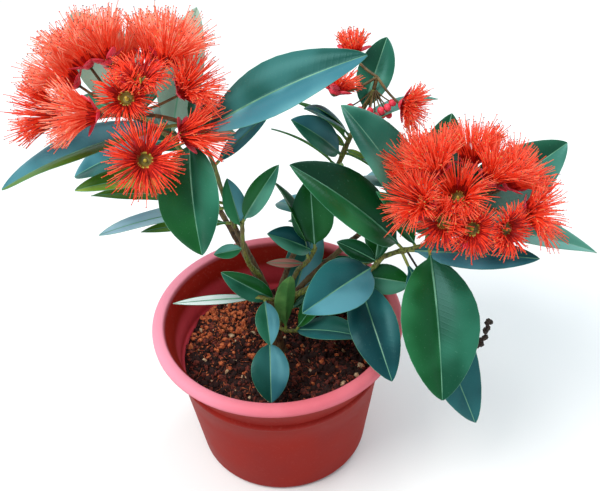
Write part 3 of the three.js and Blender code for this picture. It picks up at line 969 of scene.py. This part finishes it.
def leaf_part(base, row, dice):
    """A leaf from its row: share, heading, rise, length, roll, width share and tint."""
    _, heading, rise, length, roll, breadth, tint = row
    along, up, across = leaf_frame(heading, rise, roll)
    half_curl = CURL_ANGLE / 2
    bow = length / (2 * math.sin(half_curl))
    phase, waves = dice.uniform(0, 2 * math.pi), dice.uniform(*MARGIN_WAVES)
    wave_height = dice.uniform(*WAVE_HEIGHTS) * length / 100
    points, places = [], []
    for share in LEAF_STATIONS:
        turn = half_curl * (2 * share - 1)
        normal = up * math.cos(turn) + along * math.sin(turn)
        midrib = base + along * bow * (math.sin(turn) + math.sin(half_curl))
        midrib = midrib + up * bow * (math.cos(turn) - math.cos(half_curl))
        half = float(half_width(share, length, breadth)) * math.cos(FOLD_ANGLE)
        wave = wave_height * math.sin(2 * math.pi * waves * share + phase)
        x, z = ring_section(share, half, length, wave)
        round_x, round_z = stalk_section(len(x))
        opened = smoothstep(share, *STALK_BLEND)
        x = round_x * (1 - opened) + x * opened
        z = round_z * (1 - opened) + z * opened
        points.append(midrib + x[:, None] * across + z[:, None] * normal)
        places.append(np.stack([x, np.full(len(x), share * length)], axis=1))
    count = len(x)
    return Part(
        np.concatenate(points),
        ring_faces(len(LEAF_STATIONS), count),
        leaf_finishes(count, [TINT_ORDER.index(name) for name in tint.split()]),
        np.concatenate(places),
    )


def leaf_finishes(count, tints):
    """For each face its finish: the stalk, then margins, midrib, two upper halves, underside."""
    half = len(BLADE_COLUMNS) + 1
    ring = [MARGIN] + [tints[0]] * (half - 1) + [MIDRIB] + [tints[-1]] * (half - 1) + [MARGIN]
    ring += [UNDER] * (count - len(ring))
    finishes = []
    for share in LEAF_STATIONS[:-1]:
        finishes += [STALK] * count if share < 0.08 else ring
    return finishes + [MIDRIB, STALK]


test_leaf = leaf_part(np.zeros(3), (0, 0, 0, 100, 0, WIDTH_SHARE, "teal mist"), np.random.default_rng(1))
print("one leaf has", sum(len(face) - 2 for face in test_leaf.faces), "triangles")

# %% [markdown]
# ## The shoots
# Each shoot grows on from its bough or from the trunk. Its leaves are listed one by one where
# they can be seen from the front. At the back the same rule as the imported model's deals them
# out round the stem: the golden section sets their headings, and seeded numbers vary them.

# %% Leaves dealt out round a stem by rule
RISE_SPREAD = 36
LENGTH_SPREAD = 0.3
ROLL_SPREAD = 40
FIRST_SHARE = 0.25
REAR_TINTS = ("green leafy", "night forest", "dusk blue", "leafy green", "deep dusk")


def seeded_shares(seed):
    """Numbers from 0 to 1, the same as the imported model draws."""
    state = seed
    while True:
        state = (state * 1664525 + 1013904223) % 2**32
        yield state / 2**32


def whorl(count, middle, spread, rise, length, seed):
    golden = (math.sqrt(5) - 1) / 2
    draw = seeded_shares(seed)
    rows = []
    for index in range(count):
        share = FIRST_SHARE + (1 - FIRST_SHARE) * (index + 0.5) / count
        heading = middle + spread * (((index + 1) * golden) % 1 - 0.5)
        lift = rise + RISE_SPREAD * (next(draw) - 0.5)
        size = length * (1 + LENGTH_SPREAD * (next(draw) - 0.5))
        roll = ROLL_SPREAD * (next(draw) - 0.5)
        tint = REAR_TINTS[index % len(REAR_TINTS)]
        rows.append((share, heading, lift, size, roll, WIDTH_SHARE, tint))
    return rows


print("first leaf of a whorl:", [round(v, 2) for v in whorl(7, 110, 190, -8, 82, 11)[0][:5]])

# %% The shoots at the front
# A shoot is its stem's path and its leaves. A leaf is its share of the stem, heading, rise,
# length, roll, width share, and the tint of its two halves. Where the two halves differ, the
# difference is painted light and shade on the folded leaf.
SHOOTS = {
    "left_shoot": (
        [[-26, -7, 230], [-32, -13, 268], [-38, -17, 302], [-55, -16, 324]],
        [
            (0.86, 358, 27, 126, 28, 0.34, "dusk sky"),
            (0.60, 22, 36, 53, 39, 0.22, "blue"),
            (0.90, 276, -48, 80, 28, 0.60, "leafy forest"),
            (0.99, 186, -17, 128, 0, 0.31, "olive blue"),
            (0.50, 193, 5, 95, -8, 0.28, "young olive"),
            (0.24, 187, 12, 93, -12, 0.17, "olive"),
            (0.20, 190, -5, 92, -12, 0.17, "haze"),
            (0.04, 187, 1, 66, -20, 0.17, "olive"),
            (0.75, 98, 24, 52, 0, 0.36, "night"),
        ],
    ),
    "inner_left_shoot": (
        [[-19, -17, 210], [-20, -21, 226], [-19, -22, 246]],
        [
            (0.80, 125, 68, 39, -24, 0.44, "green blue"),
            (0.98, 4, 59, 54, 57, 0.32, "forest teal"),
            (0.30, 195, -1, 22, -50, 0.5, "green mist"),
        ],
    ),
    "centre_shoot": (
        [[18, -2, 182], [27, -4, 194], [32, -5, 206]],
        [
            (0.50, 170, 72, 74, 5, 0.28, "forest"),
            (0.95, 100, 78, 58, -10, 0.56, "forest"),
            (0.85, 198, 38, 44, -36, 0.5, "teal deep"),
            (0.35, 190, 12, 30, -51, 0.25, "rosy"),
        ],
    ),
    "right_inner_shoot": (
        [[58, -11, 190], [66, -20, 190], [82, -20, 208]],
        [
            (0.70, 226, 6, 78, -30, 0.52, "blue deep"),
            (0.20, 286, -28, 84, 18, 0.44, "deep"),
            (0.22, 350, -6, 40, 48, 0.6, "forest teal"),
            (0.70, 77, 32, 48, 0, WIDTH_SHARE, "forest"),
            (0.80, 165, 25, 34, -30, WIDTH_SHARE, "night"),
        ],
    ),
    "right_shoot": (
        [[92, -13, 206], [108, -14, 211], [122, -13, 218], [132, -12, 228]],
        [
            (0.50, 272, -40, 113, -6, 0.53, "leafy green"),
            (0.06, 309, -54, 145, 27, 0.3, "deep"),
            (0.85, 359, -12, 114, -5, 0.36, "teal mist"),
            (0.10, 350, 1, 97, 44, 0.25, "deep blue"),
            (0.50, 27, 21, 129, 36, 0.38, "leafy mist"),
            (0.45, 69, 50, 97, 0, 0.4, "night"),
            (0.55, 149, 52, 120, -5, 0.42, "teal"),
            (0.30, 140, 40, 40, 0, WIDTH_SHARE, "forest"),
            (0.10, 188, 47, 119, -33, 0.38, "green night"),
            (0.70, 188, 45, 68, -66, 0.25, "green"),
        ],
    ),
    "back_shoot": (
        [[48, 33, 244], [56, 42, 260], [66, 54, 276], [79, 63, 299]],
        [
            (0.70, 62, 41, 62, 21, 0.45, "leafy teal"),
            (0.52, 20, 8, 70, -15, 0.4, "mist"),
            (0.22, 203, 47, 58, -45, WIDTH_SHARE, "teal blue"),
            (0.39, 200, 46, 62, 25, 0.3, "leafy teal"),
            (0.44, 216, 44, 58, -20, 0.34, "deep"),
            (0.09, 200, 43, 68, 15, 0.14, "night"),
            (0.26, 338, -26, 34, -30, WIDTH_SHARE, "deep"),
            (0.30, 335, -12, 18, 63, 0.31, "young"),
            (0.32, 170, 46, 20, -60, 0.31, "young"),
            (0.12, 283, 21, 18, 42, 0.33, "young"),
        ],
    ),
    "low_left_shoot": (
        [[-3, -1, 148], [1, -8, 157], [-5, -13, 163], [-15, -13, 167]],
        [
            (0.36, 183, 39, 52, -66, 0.38, "leafy forest"),
            # An edge-on leaf whose silver tint is a painted highlight.
            (0.85, 186, 3, 67, -38, 0.12, "silver"),
            (0.78, 277, -32, 37, 3, 0.52, "blue leafy"),
        ],
    ),
    "low_front_shoot": (
        [[-3, 0, 120], [-4, -14, 127], [-6, -26, 134]],
        [(0.95, 270, -38, 50, 0, 0.62, "blue dusk")],
    ),
    "low_right_shoot": (
        [[-3, 0, 124], [6, -14, 130], [16, -21, 136]],
        [
            (0.80, 338, 12, 60, 0, WIDTH_SHARE, "dusk deep"),
            (0.95, 20, 45, 48, 0, WIDTH_SHARE, "forest"),
            (0.60, 292, 77, 72, 0, 0.25, "green"),
        ],
    ),
}
print("shoots at the front:", len(SHOOTS))

# %% The shoots at the back
SHOOTS["rear_left_shoot"] = (
    [[-56, 52, 236], [-68, 60, 254], [-84, 66, 270], [-98, 70, 282]],
    [
        (0.95, 150, 56, 88, -30, 0.56, "sage"),
        (0.50, 45, 68, 102, 30, 0.36, "sage"),
        *whorl(7, 110, 190, -8, 82, 11),
    ],
)
SHOOTS["rear_right_shoot"] = (
    [[86, 40, 198], [102, 46, 210], [120, 52, 222], [134, 56, 230]],
    whorl(8, 45, 190, -15, 80, 23),
)
SHOOTS["rear_middle_shoot"] = (
    [[20, 22, 196], [30, 38, 200], [40, 52, 202]],
    whorl(5, 80, 130, -25, 60, 31),
)
SHOOTS["low_rear_shoot"] = (
    [[-2, 1, 114], [10, 18, 124], [22, 34, 134]],
    whorl(5, 30, 110, 22, 66, 47),
)
print("leaves in all:", sum(len(rows) for _, rows in SHOOTS.values()))

# %% [markdown]
# ## Growing a shoot
# The stem is a tube that swells where a leaf joins it. Each shoot gives two pieces, its leaves
# and its stem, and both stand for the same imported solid.

# %% Grow each shoot
STEM_RADII = (1.9, 1.3)
STEM_STEPS = 34
NODE_SWELL = 0.3
NODE_REACH = 2.0
MOST_STEM = 2.6


def stem_part(path, leaf_shares):
    shares = np.linspace(0, 1, STEM_STEPS)
    points = along_path(path, shares)
    run = run_along(points)
    radii = STEM_RADII[0] + (STEM_RADII[1] - STEM_RADII[0]) * shares
    for share in leaf_shares:
        radii += NODE_SWELL * np.exp(-(((run - share * run[-1]) / NODE_REACH) ** 2))
    return tube(points, np.minimum(radii, MOST_STEM), 12)


def grow_shoot(name, path, rows, seed):
    dice = np.random.default_rng(seed)
    leaves = [leaf_part(along_path(path, row[0]), row, dice) for row in rows]
    settle(joined_piece(name + "_leaves", leaves, LEAF_FINISHES), "leaf", name)
    stem = stem_part(path, [row[0] for row in rows])
    settle(joined_piece(name + "_stem", [stem], [BARK_OLIVE]), "bark", name)


for number, (shoot, (stem_path, leaf_rows)) in enumerate(SHOOTS.items()):
    grow_shoot(shoot, stem_path, leaf_rows, 100 + number)

# %% [markdown]
# ## An old seed string
# Last year's flower stalk still hangs behind the largest leaf, with its dry seed cases at the
# end. It droops from the right shoot's stem, and its end turns up past the leaf's edge.

# %% The seed string
STRING_PATH = [
    [98, -13, 208], [122, -8, 158], [145, -4, 112],
    [157, -2, 89], [165, 0, 89], [169, 1, 102], [171, 2, 118],
]
STRING_RADII = (0.96, 0.48)
STRING_RINGS = 40
CASE_COUNT = 11
CASE_SIZE = 2.5
CASE_SPREAD = 1.6
FIRST_CASE = 0.83


def seed_string():
    dice = np.random.default_rng(31)
    shape, faces = crumb_shape()
    line = along_path(STRING_PATH, np.linspace(0, 1, STRING_RINGS))
    parts = [tube(line, np.linspace(*STRING_RADII, STRING_RINGS), 6)]
    for place in along_path(STRING_PATH, np.linspace(FIRST_CASE, 1, CASE_COUNT)):
        points = (shape * dice.uniform(0.8, 1.3, 3) * CASE_SIZE) @ random_turn(dice).T
        points = points + place + dice.uniform(-CASE_SPREAD, CASE_SPREAD, 3)
        parts.append(Part(points, faces, [0] * len(faces)))
    dry = bark_finish("dry_seed_case", "1E1512", "4A3A32", "3A2A22", 0.85)
    return joined_piece("seed_string", parts, [dry])


settle(seed_string(), "bark", "right_shoot")

# %% [markdown]
# ## Flower finishes
# The red of a penda is all stamens. Most are deep red at the foot, orange red along most of
# their length and coral or pale at the tip, others stay red to the tip, and each stretch has
# a plain finish. The deep red is partly painted shade between the stamens, the pale partly
# painted highlights, and a faint emission on stamens and petals is painted light. The grains
# at the tips are dark, gold or red, the cups are pink outside with a yellow-green rim, and the
# petals are pink.

# %% Stamens, anthers, cups, petals and stalks
def petal_finish(name, deep, bright, roughness=0.55, painted_glow=0.0):
    """A soft finish; its glow is a faint emission, painted light that brightens thin parts where they
    shade each other.
    """
    material, graph = new_material(name)
    soft = clouds(graph, 150, 0.35, 0.65, 2.0)
    colour = blend(graph, soft, hue(deep), hue(bright))
    painted_glow_emission = {"Emission_Color": hue(bright), "Emission_Strength": painted_glow}
    return dress(material, colour, roughness, noise(graph, 1500, 2.0), 0.05, **painted_glow_emission)


FLOWER_FINISHES = [
    petal_finish("stamen_foot", "A00C06", "CC1A0A", 0.6, 0.05),
    petal_finish("stamen_middle", "E02A0E", "F8421C", 0.6, 0.14),
    petal_finish("stamen_tip", "EC4A2C", "FA6C4A", 0.6, 0.14),
    petal_finish("stamen_pale", "EE765C", "FA9A7E", 0.6, 0.14),
    petal_finish("anther", "54262C", "784044", 0.8),
    petal_finish("anther_gold", "B0702A", "DC9A48", 0.8),
    petal_finish("anther_bright", "D0381E", "EC5E38", 0.8, 0.08),
    petal_finish("cup_rim", "9C9224", "CCB840"),
    petal_finish("cup_hollow", "4E4410", "7C6A20"),
    petal_finish("petal", "C81A2C", "EE4258", 0.5, 0.06),
    petal_finish("flower_stalk", "4A3A18", "766034"),
]
FOOT, MIDDLE, TIP, PALE, *ANTHERS, RIM, HOLLOW, PETAL, STEMLET = range(len(FLOWER_FINISHES))
ANTHER_SHARES = (0.24, 0.18, 0.58)
print("flower finishes:", len(FLOWER_FINISHES))

# %% [markdown]
# ## One flower
# A flower is a shallow cup on a stalk, with a ring of stamens on its rim and small petals under
# them. The stamens leave the rim, arch outwards and fan into a brush or a ball. The golden
# angle spaces them evenly, and seeded numbers keep them from looking combed.

# %% Stamens
STAMEN_RADIUS = 0.4
STAMEN_REACH = (0.78, 1.04)
STAMEN_WOBBLE = 0.4
LEAN_SPREAD = 5
ANGLE_SPREAD = 0.25
FOOT_SPREAD = (0.7, 1.05)
ARCH_AT = 0.45
ARCH_UPWARDS = 0.7
STRAY_SHARE = 0.05
STRAY_REACH = 1.13
CUP_RADIUS = 5.8
CUP_DEPTH = 4.5
STAMEN_TAPER = np.array([1.2, 1.0, 0.92, 0.82, 0.62])
# The deep red at the stamens' feet is partly painted shade between them, and the pale tone partly painted
# highlights.
CORAL_TONES = ((FOOT, MIDDLE, TIP, PALE), (MIDDLE, TIP, TIP, PALE), (FOOT, MIDDLE, TIP, TIP))
FIERY_TONES = ((FOOT, MIDDLE, MIDDLE, TIP), (FOOT, MIDDLE, TIP, TIP), (FOOT, FOOT, MIDDLE, MIDDLE))
DEEP_TONES = ((FOOT, FOOT, MIDDLE, MIDDLE), (FOOT, MIDDLE, MIDDLE, TIP), (FOOT, FOOT, FOOT, MIDDLE))

# How a flower stands open: its stamens' number, least and widest lean and share of the full
# length, and the tones that they have from foot to tip.
KINDS = {
    "brush": (250, 2, 42, 1.0, CORAL_TONES),
    "wisp": (110, 2, 40, 1.0, FIERY_TONES),
    "blaze": (250, 2, 46, 0.95, FIERY_TONES),
    "ember": (250, 2, 44, 1.0, DEEP_TONES),
    "ball": (250, 6, 64, 0.9, FIERY_TONES),
    "open": (230, 36, 84, 0.8, DEEP_TONES),
    "low": (210, 28, 82, 0.62, DEEP_TONES),
    "tuft": (170, 0, 34, 0.72, FIERY_TONES),
}


def turn_to(axis):
    """Three directions: two across the axis, and the axis."""
    first = unit(np.cross(off_axis(axis), axis))
    return first, np.cross(axis, first), axis


ANTHER_SIZE = (0.75, 0.42, 0.42)


def anther_part(centre, way, finish):
    """A tiny eight-faced grain across the tip of a stamen."""
    long, wide, thick = np.array(turn_to(way)) * np.array(ANTHER_SIZE)[:, None]
    corners = [long, wide, -long, -wide, thick, -thick]
    faces = [[0, 1, 4], [1, 2, 4], [2, 3, 4], [3, 0, 4], [1, 0, 5], [2, 1, 5], [3, 2, 5], [0, 3, 5]]
    return Part(np.array(corners) + centre, faces, [finish] * len(faces))


def stamen_parts(centre, axis, length, kind, dice):
    """The stamens of one flower, from its cup's rim, with an anther on each."""
    count, least, widest, share, tones = KINDS[kind]
    first, second, _ = turn_to(axis)
    parts = []
    for index in range(count):
        lean = least + (widest - least) * math.sqrt((index + 0.5) / count)
        lean = math.radians(lean + dice.uniform(-LEAN_SPREAD, LEAN_SPREAD))
        angle = index * GOLDEN_ANGLE + dice.uniform(-ANGLE_SPREAD, ANGLE_SPREAD)
        out = first * math.cos(angle) + second * math.sin(angle)
        way = axis * math.cos(lean) + out * math.sin(lean)
        stray = dice.random() < STRAY_SHARE
        reach = length * share * (STRAY_REACH if stray else dice.uniform(*STAMEN_REACH))
        foot = centre + out * CUP_RADIUS * dice.uniform(*FOOT_SPREAD)
        tip = foot + way * (reach - CUP_RADIUS * math.sin(lean))
        pull = foot + unit(axis * ARCH_UPWARDS + way) * reach * ARCH_AT
        steps = np.linspace(0, 1, len(STAMEN_TAPER))
        line = pulled(foot, pull, tip, steps)
        line[1:] += dice.normal(0, STAMEN_WOBBLE, (len(steps) - 1, 3)) * steps[1:, None]
        tone = tones[int(dice.integers(len(tones)))]
        parts.append(tube(line, STAMEN_RADIUS * STAMEN_TAPER, 3, tone))
        parts.append(anther_part(line[-1], way, int(dice.choice(ANTHERS, p=ANTHER_SHARES))))
    return parts


print("stamens by kind of flower:", {kind: row[0] for kind, row in KINDS.items()})

# %% Cups, petals and buds
CUP_SIDES = 14
PETAL_COUNT = 5
PETAL_FOOT = (3.6, -1.2)
PETAL_WIDTH = 0.42
PETAL_CURL = 0.25
PETAL_CUP = 0.25
PETAL_THICKNESS = 0.35


def revolved(centre, axis, section, finishes, sides=CUP_SIDES):
    """A small turned shape: rings at (radius, height) along the axis."""
    first, second, third = turn_to(axis)
    angles = ring_angles(sides)
    across = np.outer(np.cos(angles), first) + np.outer(np.sin(angles), second)
    rings = [centre + third * height + radius * across for radius, height in section]
    return Part(np.concatenate(rings), ring_faces(len(section), sides), band_finishes(finishes, sides))


def cup_part(centre, axis):
    """The flower's cup: its outside, its rim, and the hollow with its nectar."""
    section = [(0.9, -CUP_DEPTH), (2.8, -CUP_DEPTH * 0.75), (4.8, -CUP_DEPTH * 0.3), (5.6, 0.3)]
    section += [(5.1, 0.9), (4.3, 0.2), (3.0, -1.4), (1.2, -1.9), (0.9, 1.6), (0.4, 1.8)]
    finishes = [STEMLET, PETAL, PETAL, RIM, RIM, HOLLOW, HOLLOW, RIM, RIM]
    return revolved(centre, axis, section, finishes)


def petal_part(centre, axis, angle, length, dice):
    """A small cupped petal that stands out from under the rim."""
    first, second, third = turn_to(axis)
    out = first * math.cos(angle) + second * math.sin(angle)
    side = np.cross(out, third)
    lift = dice.uniform(-0.1, 0.5)
    rings = []
    for share in (0.0, 0.3, 0.6, 0.85, 1.0):
        half = PETAL_WIDTH * length * math.sin(math.pi * min(share * 0.8 + 0.15, 1)) ** 0.8
        rise = PETAL_FOOT[1] + length * (lift * share + PETAL_CURL * share**2)
        middle = centre + out * (PETAL_FOOT[0] + length * share) + third * rise
        cup = third * PETAL_CUP * half
        thick = third * PETAL_THICKNESS
        rings += [middle - side * half + cup, middle, middle + side * half + cup, middle - thick]
    return Part(np.array(rings), ring_faces(5, 4), band_finishes([PETAL] * 4, 4))


def bud_part(centre, axis, radius):
    """A round bud with a slight point."""
    turns = np.linspace(-0.48, 0.5, 8) * math.pi
    section = [(max(radius * math.cos(t), 0.25), radius * 1.12 * math.sin(t)) for t in turns]
    return revolved(centre, axis, section, [STEMLET] + [PETAL] * 6, 12)


print("cup and petals are small turned and ringed shapes")

# %% [markdown]
# ## The flower heads
# A head grows on from the tip of its shoot: a stalk, and a bunch of flowers on shorter stalks
# that all leave the end of it. Each row says where a flower stands and which way it faces. One
# head also holds pink buds, which leave the foot of its stalk.

# %% Where each head and flower stands
# A flower is its heading, rise and reach from the head's tip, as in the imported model, then its
# kind, and the heading and rise that it faces.
HEADS = {
    "left_flower_head": (
        [[-43, -18, 322], [-64, -14, 328], [-88, -10, 330]],
        34,
        [
            (183, 2, 42, "ember", 184, 16),
            (243, 28, 36, "brush", 202, 16),
            (131, 66, 36, "brush", 140, 62),
            (174, 35, 38, "brush", 176, 42),
            (14, 47, 44, "brush", 20, 62),
            (0, 20, 40, "ball", 0, 38),
            (317, 58, 36, "low", 330, 78),
            (290, -14, 44, "open", 283, 38),
            (335, -10, 42, "wisp", 345, 20),
            (100, 25, 36, "brush", 100, 60),
            (60, 35, 40, "brush", 60, 66),
            (286, 50, 26, "low", 270, 52),
            (160, 55, 40, "brush", 160, 58),
        ],
        [],
    ),
    "right_flower_head": (
        [[132, -12, 228], [137, -12, 240], [141, -12, 250]],
        34,
        [
            (193, 48, 40, "blaze", 160, 72),
            (208, 18, 42, "ball", 200, 38),
            (81, 58, 27, "blaze", 85, 66),
            (4, 23, 29, "blaze", 5, 45),
            (334, 0, 40, "ball", 345, 18),
            (264, 1, 33, "low", 268, 28),
            (300, -1, 38, "low", 308, 18),
            (231, 5, 35, "low", 240, 30),
            (163, 25, 40, "blaze", 165, 52),
            (355, 54, 21, "blaze", 10, 60),
            (228, 36, 20, "ball", 250, 58),
        ],
        [],
    ),
    "back_flower_head": (
        [[79, 63, 299], [80, 63, 304], [81, 62, 309]],
        23,
        [
            (138, 32, 27, "tuft", 100, 85),
            (190, -12, 32, "ball", 60, 45),
            (322, -33, 28, "ball", 330, 0),
        ],
        [
            (196, -32, 22), (219, -40, 19), (252, -45, 17), (291, -45, 17), (314, -38, 17),
            (330, -28, 17), (236, -58, 21), (272, -62, 20), (304, -58, 20), (320, -52, 22),
        ],
    ),
}
print("flowers in all:", sum(len(flowers) for _, _, flowers, _ in HEADS.values()))

# %% Grow each head
PEDICEL_RADIUS = 0.95
BUD_PEDICEL_RADIUS = 0.55
BUD_RADIUS = 2.7
PETAL_LENGTH = 10
STALK_RADII = (1.6, 1.3)
STALK_STEPS = 12
PEDICEL_STEPS = 9
CUP_OVERLAP = 0.5


def pedicel_part(node, end, radius=PEDICEL_RADIUS):
    """A stalk that leaves the head's own and bows up into its flower or bud."""
    middle = (node + end) / 2 - np.array([0, 0, 0.06]) * np.linalg.norm(end - node)
    points = along_path([node, middle, end], np.linspace(0, 1, PEDICEL_STEPS))
    radii = radius * np.linspace(1.15, 0.95, PEDICEL_STEPS)
    return tube(points, radii, 8, STEMLET)


def grow_head(name, stalk, length, flowers, buds, seed):
    dice = np.random.default_rng(seed)
    node = np.array(stalk[-1], float)
    stalk_line = along_path(stalk, np.linspace(0, 1, STALK_STEPS))
    stamens, cups = [], [tube(stalk_line, np.linspace(*STALK_RADII, STALK_STEPS), 10, STEMLET)]
    for heading, rise, reach, kind, facing, lift in flowers:
        axis = direction(facing, lift)
        centre = node + direction(heading, rise) * reach
        stamens += stamen_parts(centre, axis, length, kind, dice)
        cups += [pedicel_part(node, centre - axis * (CUP_DEPTH - CUP_OVERLAP)), cup_part(centre, axis)]
        start = dice.uniform(0, 2 * math.pi)
        for index in range(PETAL_COUNT):
            angle = start + index * 2 * math.pi / PETAL_COUNT
            cups.append(petal_part(centre, axis, angle, PETAL_LENGTH, dice))
    foot = np.array(stalk[0], float)
    for heading, rise, reach in buds:
        out = direction(heading, rise)
        end = foot + out * reach
        cups += [pedicel_part(foot, end, BUD_PEDICEL_RADIUS), bud_part(end, out, BUD_RADIUS)]
    settle(joined_piece(name + "_stamens", stamens, FLOWER_FINISHES), "blossom", name)
    settle(joined_piece(name + "_cups", cups, FLOWER_FINISHES), "blossom", name)


for number, (head, (head_stalk, stamen_length, head_flowers, head_buds)) in enumerate(HEADS.items()):
    grow_head(head, head_stalk, stamen_length, head_flowers, head_buds, 200 + number)

# %% [markdown]
# ## Camera
# The camera looks down on the plant from in front, as a standing person does. Its place, pitch,
# yaw and roll were worked out from the pot's ellipses, and its lens gives the same spread.

# %% Camera
CAMERA_AT = (25, -518, 633)
CAMERA_PITCH = math.radians(39.6)
CAMERA_YAW = math.radians(-0.5)
CAMERA_ROLL = math.radians(-2.4)
CAMERA_LENS = 54
SENSOR_WIDTH = 36


def place_camera():
    level = np.array([math.cos(CAMERA_YAW), -math.sin(CAMERA_YAW), 0])
    ahead = np.array([
        math.sin(CAMERA_YAW) * math.cos(CAMERA_PITCH),
        math.cos(CAMERA_YAW) * math.cos(CAMERA_PITCH),
        -math.sin(CAMERA_PITCH),
    ])
    above = np.cross(level, ahead)
    right = math.cos(CAMERA_ROLL) * level + math.sin(CAMERA_ROLL) * above
    up = -math.sin(CAMERA_ROLL) * level + math.cos(CAMERA_ROLL) * above
    camera = new_object("camera", bpy.data.cameras.new("camera"))
    camera.data.lens = CAMERA_LENS
    camera.data.sensor_width = SENSOR_WIDTH
    turn = Matrix(np.stack([right, up, -ahead], axis=1).tolist()).to_4x4()
    camera.matrix_world = Matrix.Translation(np.array(CAMERA_AT) * MM) @ turn
    bpy.context.scene.camera = camera
    bpy.context.scene.view_settings.view_transform = "Standard"
    return camera


print("camera at", [round(v, 3) for v in place_camera().location])

# %% [markdown]
# ## Floor and light
# The floor is plain and nearly white. A pale sky lights the plant from all round, with a touch
# of blue for the sheen on the leaves. A broad soft lamp from above gives the shadows, and a
# weaker one from behind lights the edges.

# %% Floor
def floor_plane():
    bpy.ops.object.select_all(action="DESELECT")
    bpy.ops.mesh.primitive_plane_add(size=12)
    floor = bpy.context.object
    floor.name = "floor"
    material, graph = new_material("floor_paint")
    soft = noise(graph, 3, 2.0)
    floor.data.materials.append(dress(material, blend(graph, soft, hue("F2F2F0"), hue("F6F6F5")), 0.85))


floor_plane()
print("floor laid")

# %% Lights
def lamp(name, place, aim, size, power, colour):
    data = bpy.data.lights.new(name, "AREA")
    data.shape = "DISK"
    data.size = size
    data.energy = power
    data.color = colour
    light = new_object(name, data)
    light.location = place
    way = (Matrix.Translation(aim).translation - light.location).normalized()
    light.rotation_euler = way.to_track_quat("-Z", "Y").to_euler()


SKY_COLOUR = (0.84, 0.93, 1.0, 1)
SKY_STRENGTH = 0.82

world = bpy.data.worlds.new("pale_sky")
bpy.context.scene.world = world
world.use_nodes = True
sky = world.node_tree.nodes["Background"].inputs
sky["Color"].default_value = SKY_COLOUR
sky["Strength"].default_value = SKY_STRENGTH
lamp("key", (-0.7, -0.5, 1.6), (0, 0, 0.2), 1.0, 22, (1.0, 0.97, 0.93))
lamp("rim", (0.9, 0.9, 1.2), (0, 0, 0.25), 0.8, 9, (0.92, 0.96, 1.0))
print("two lamps and a pale sky")
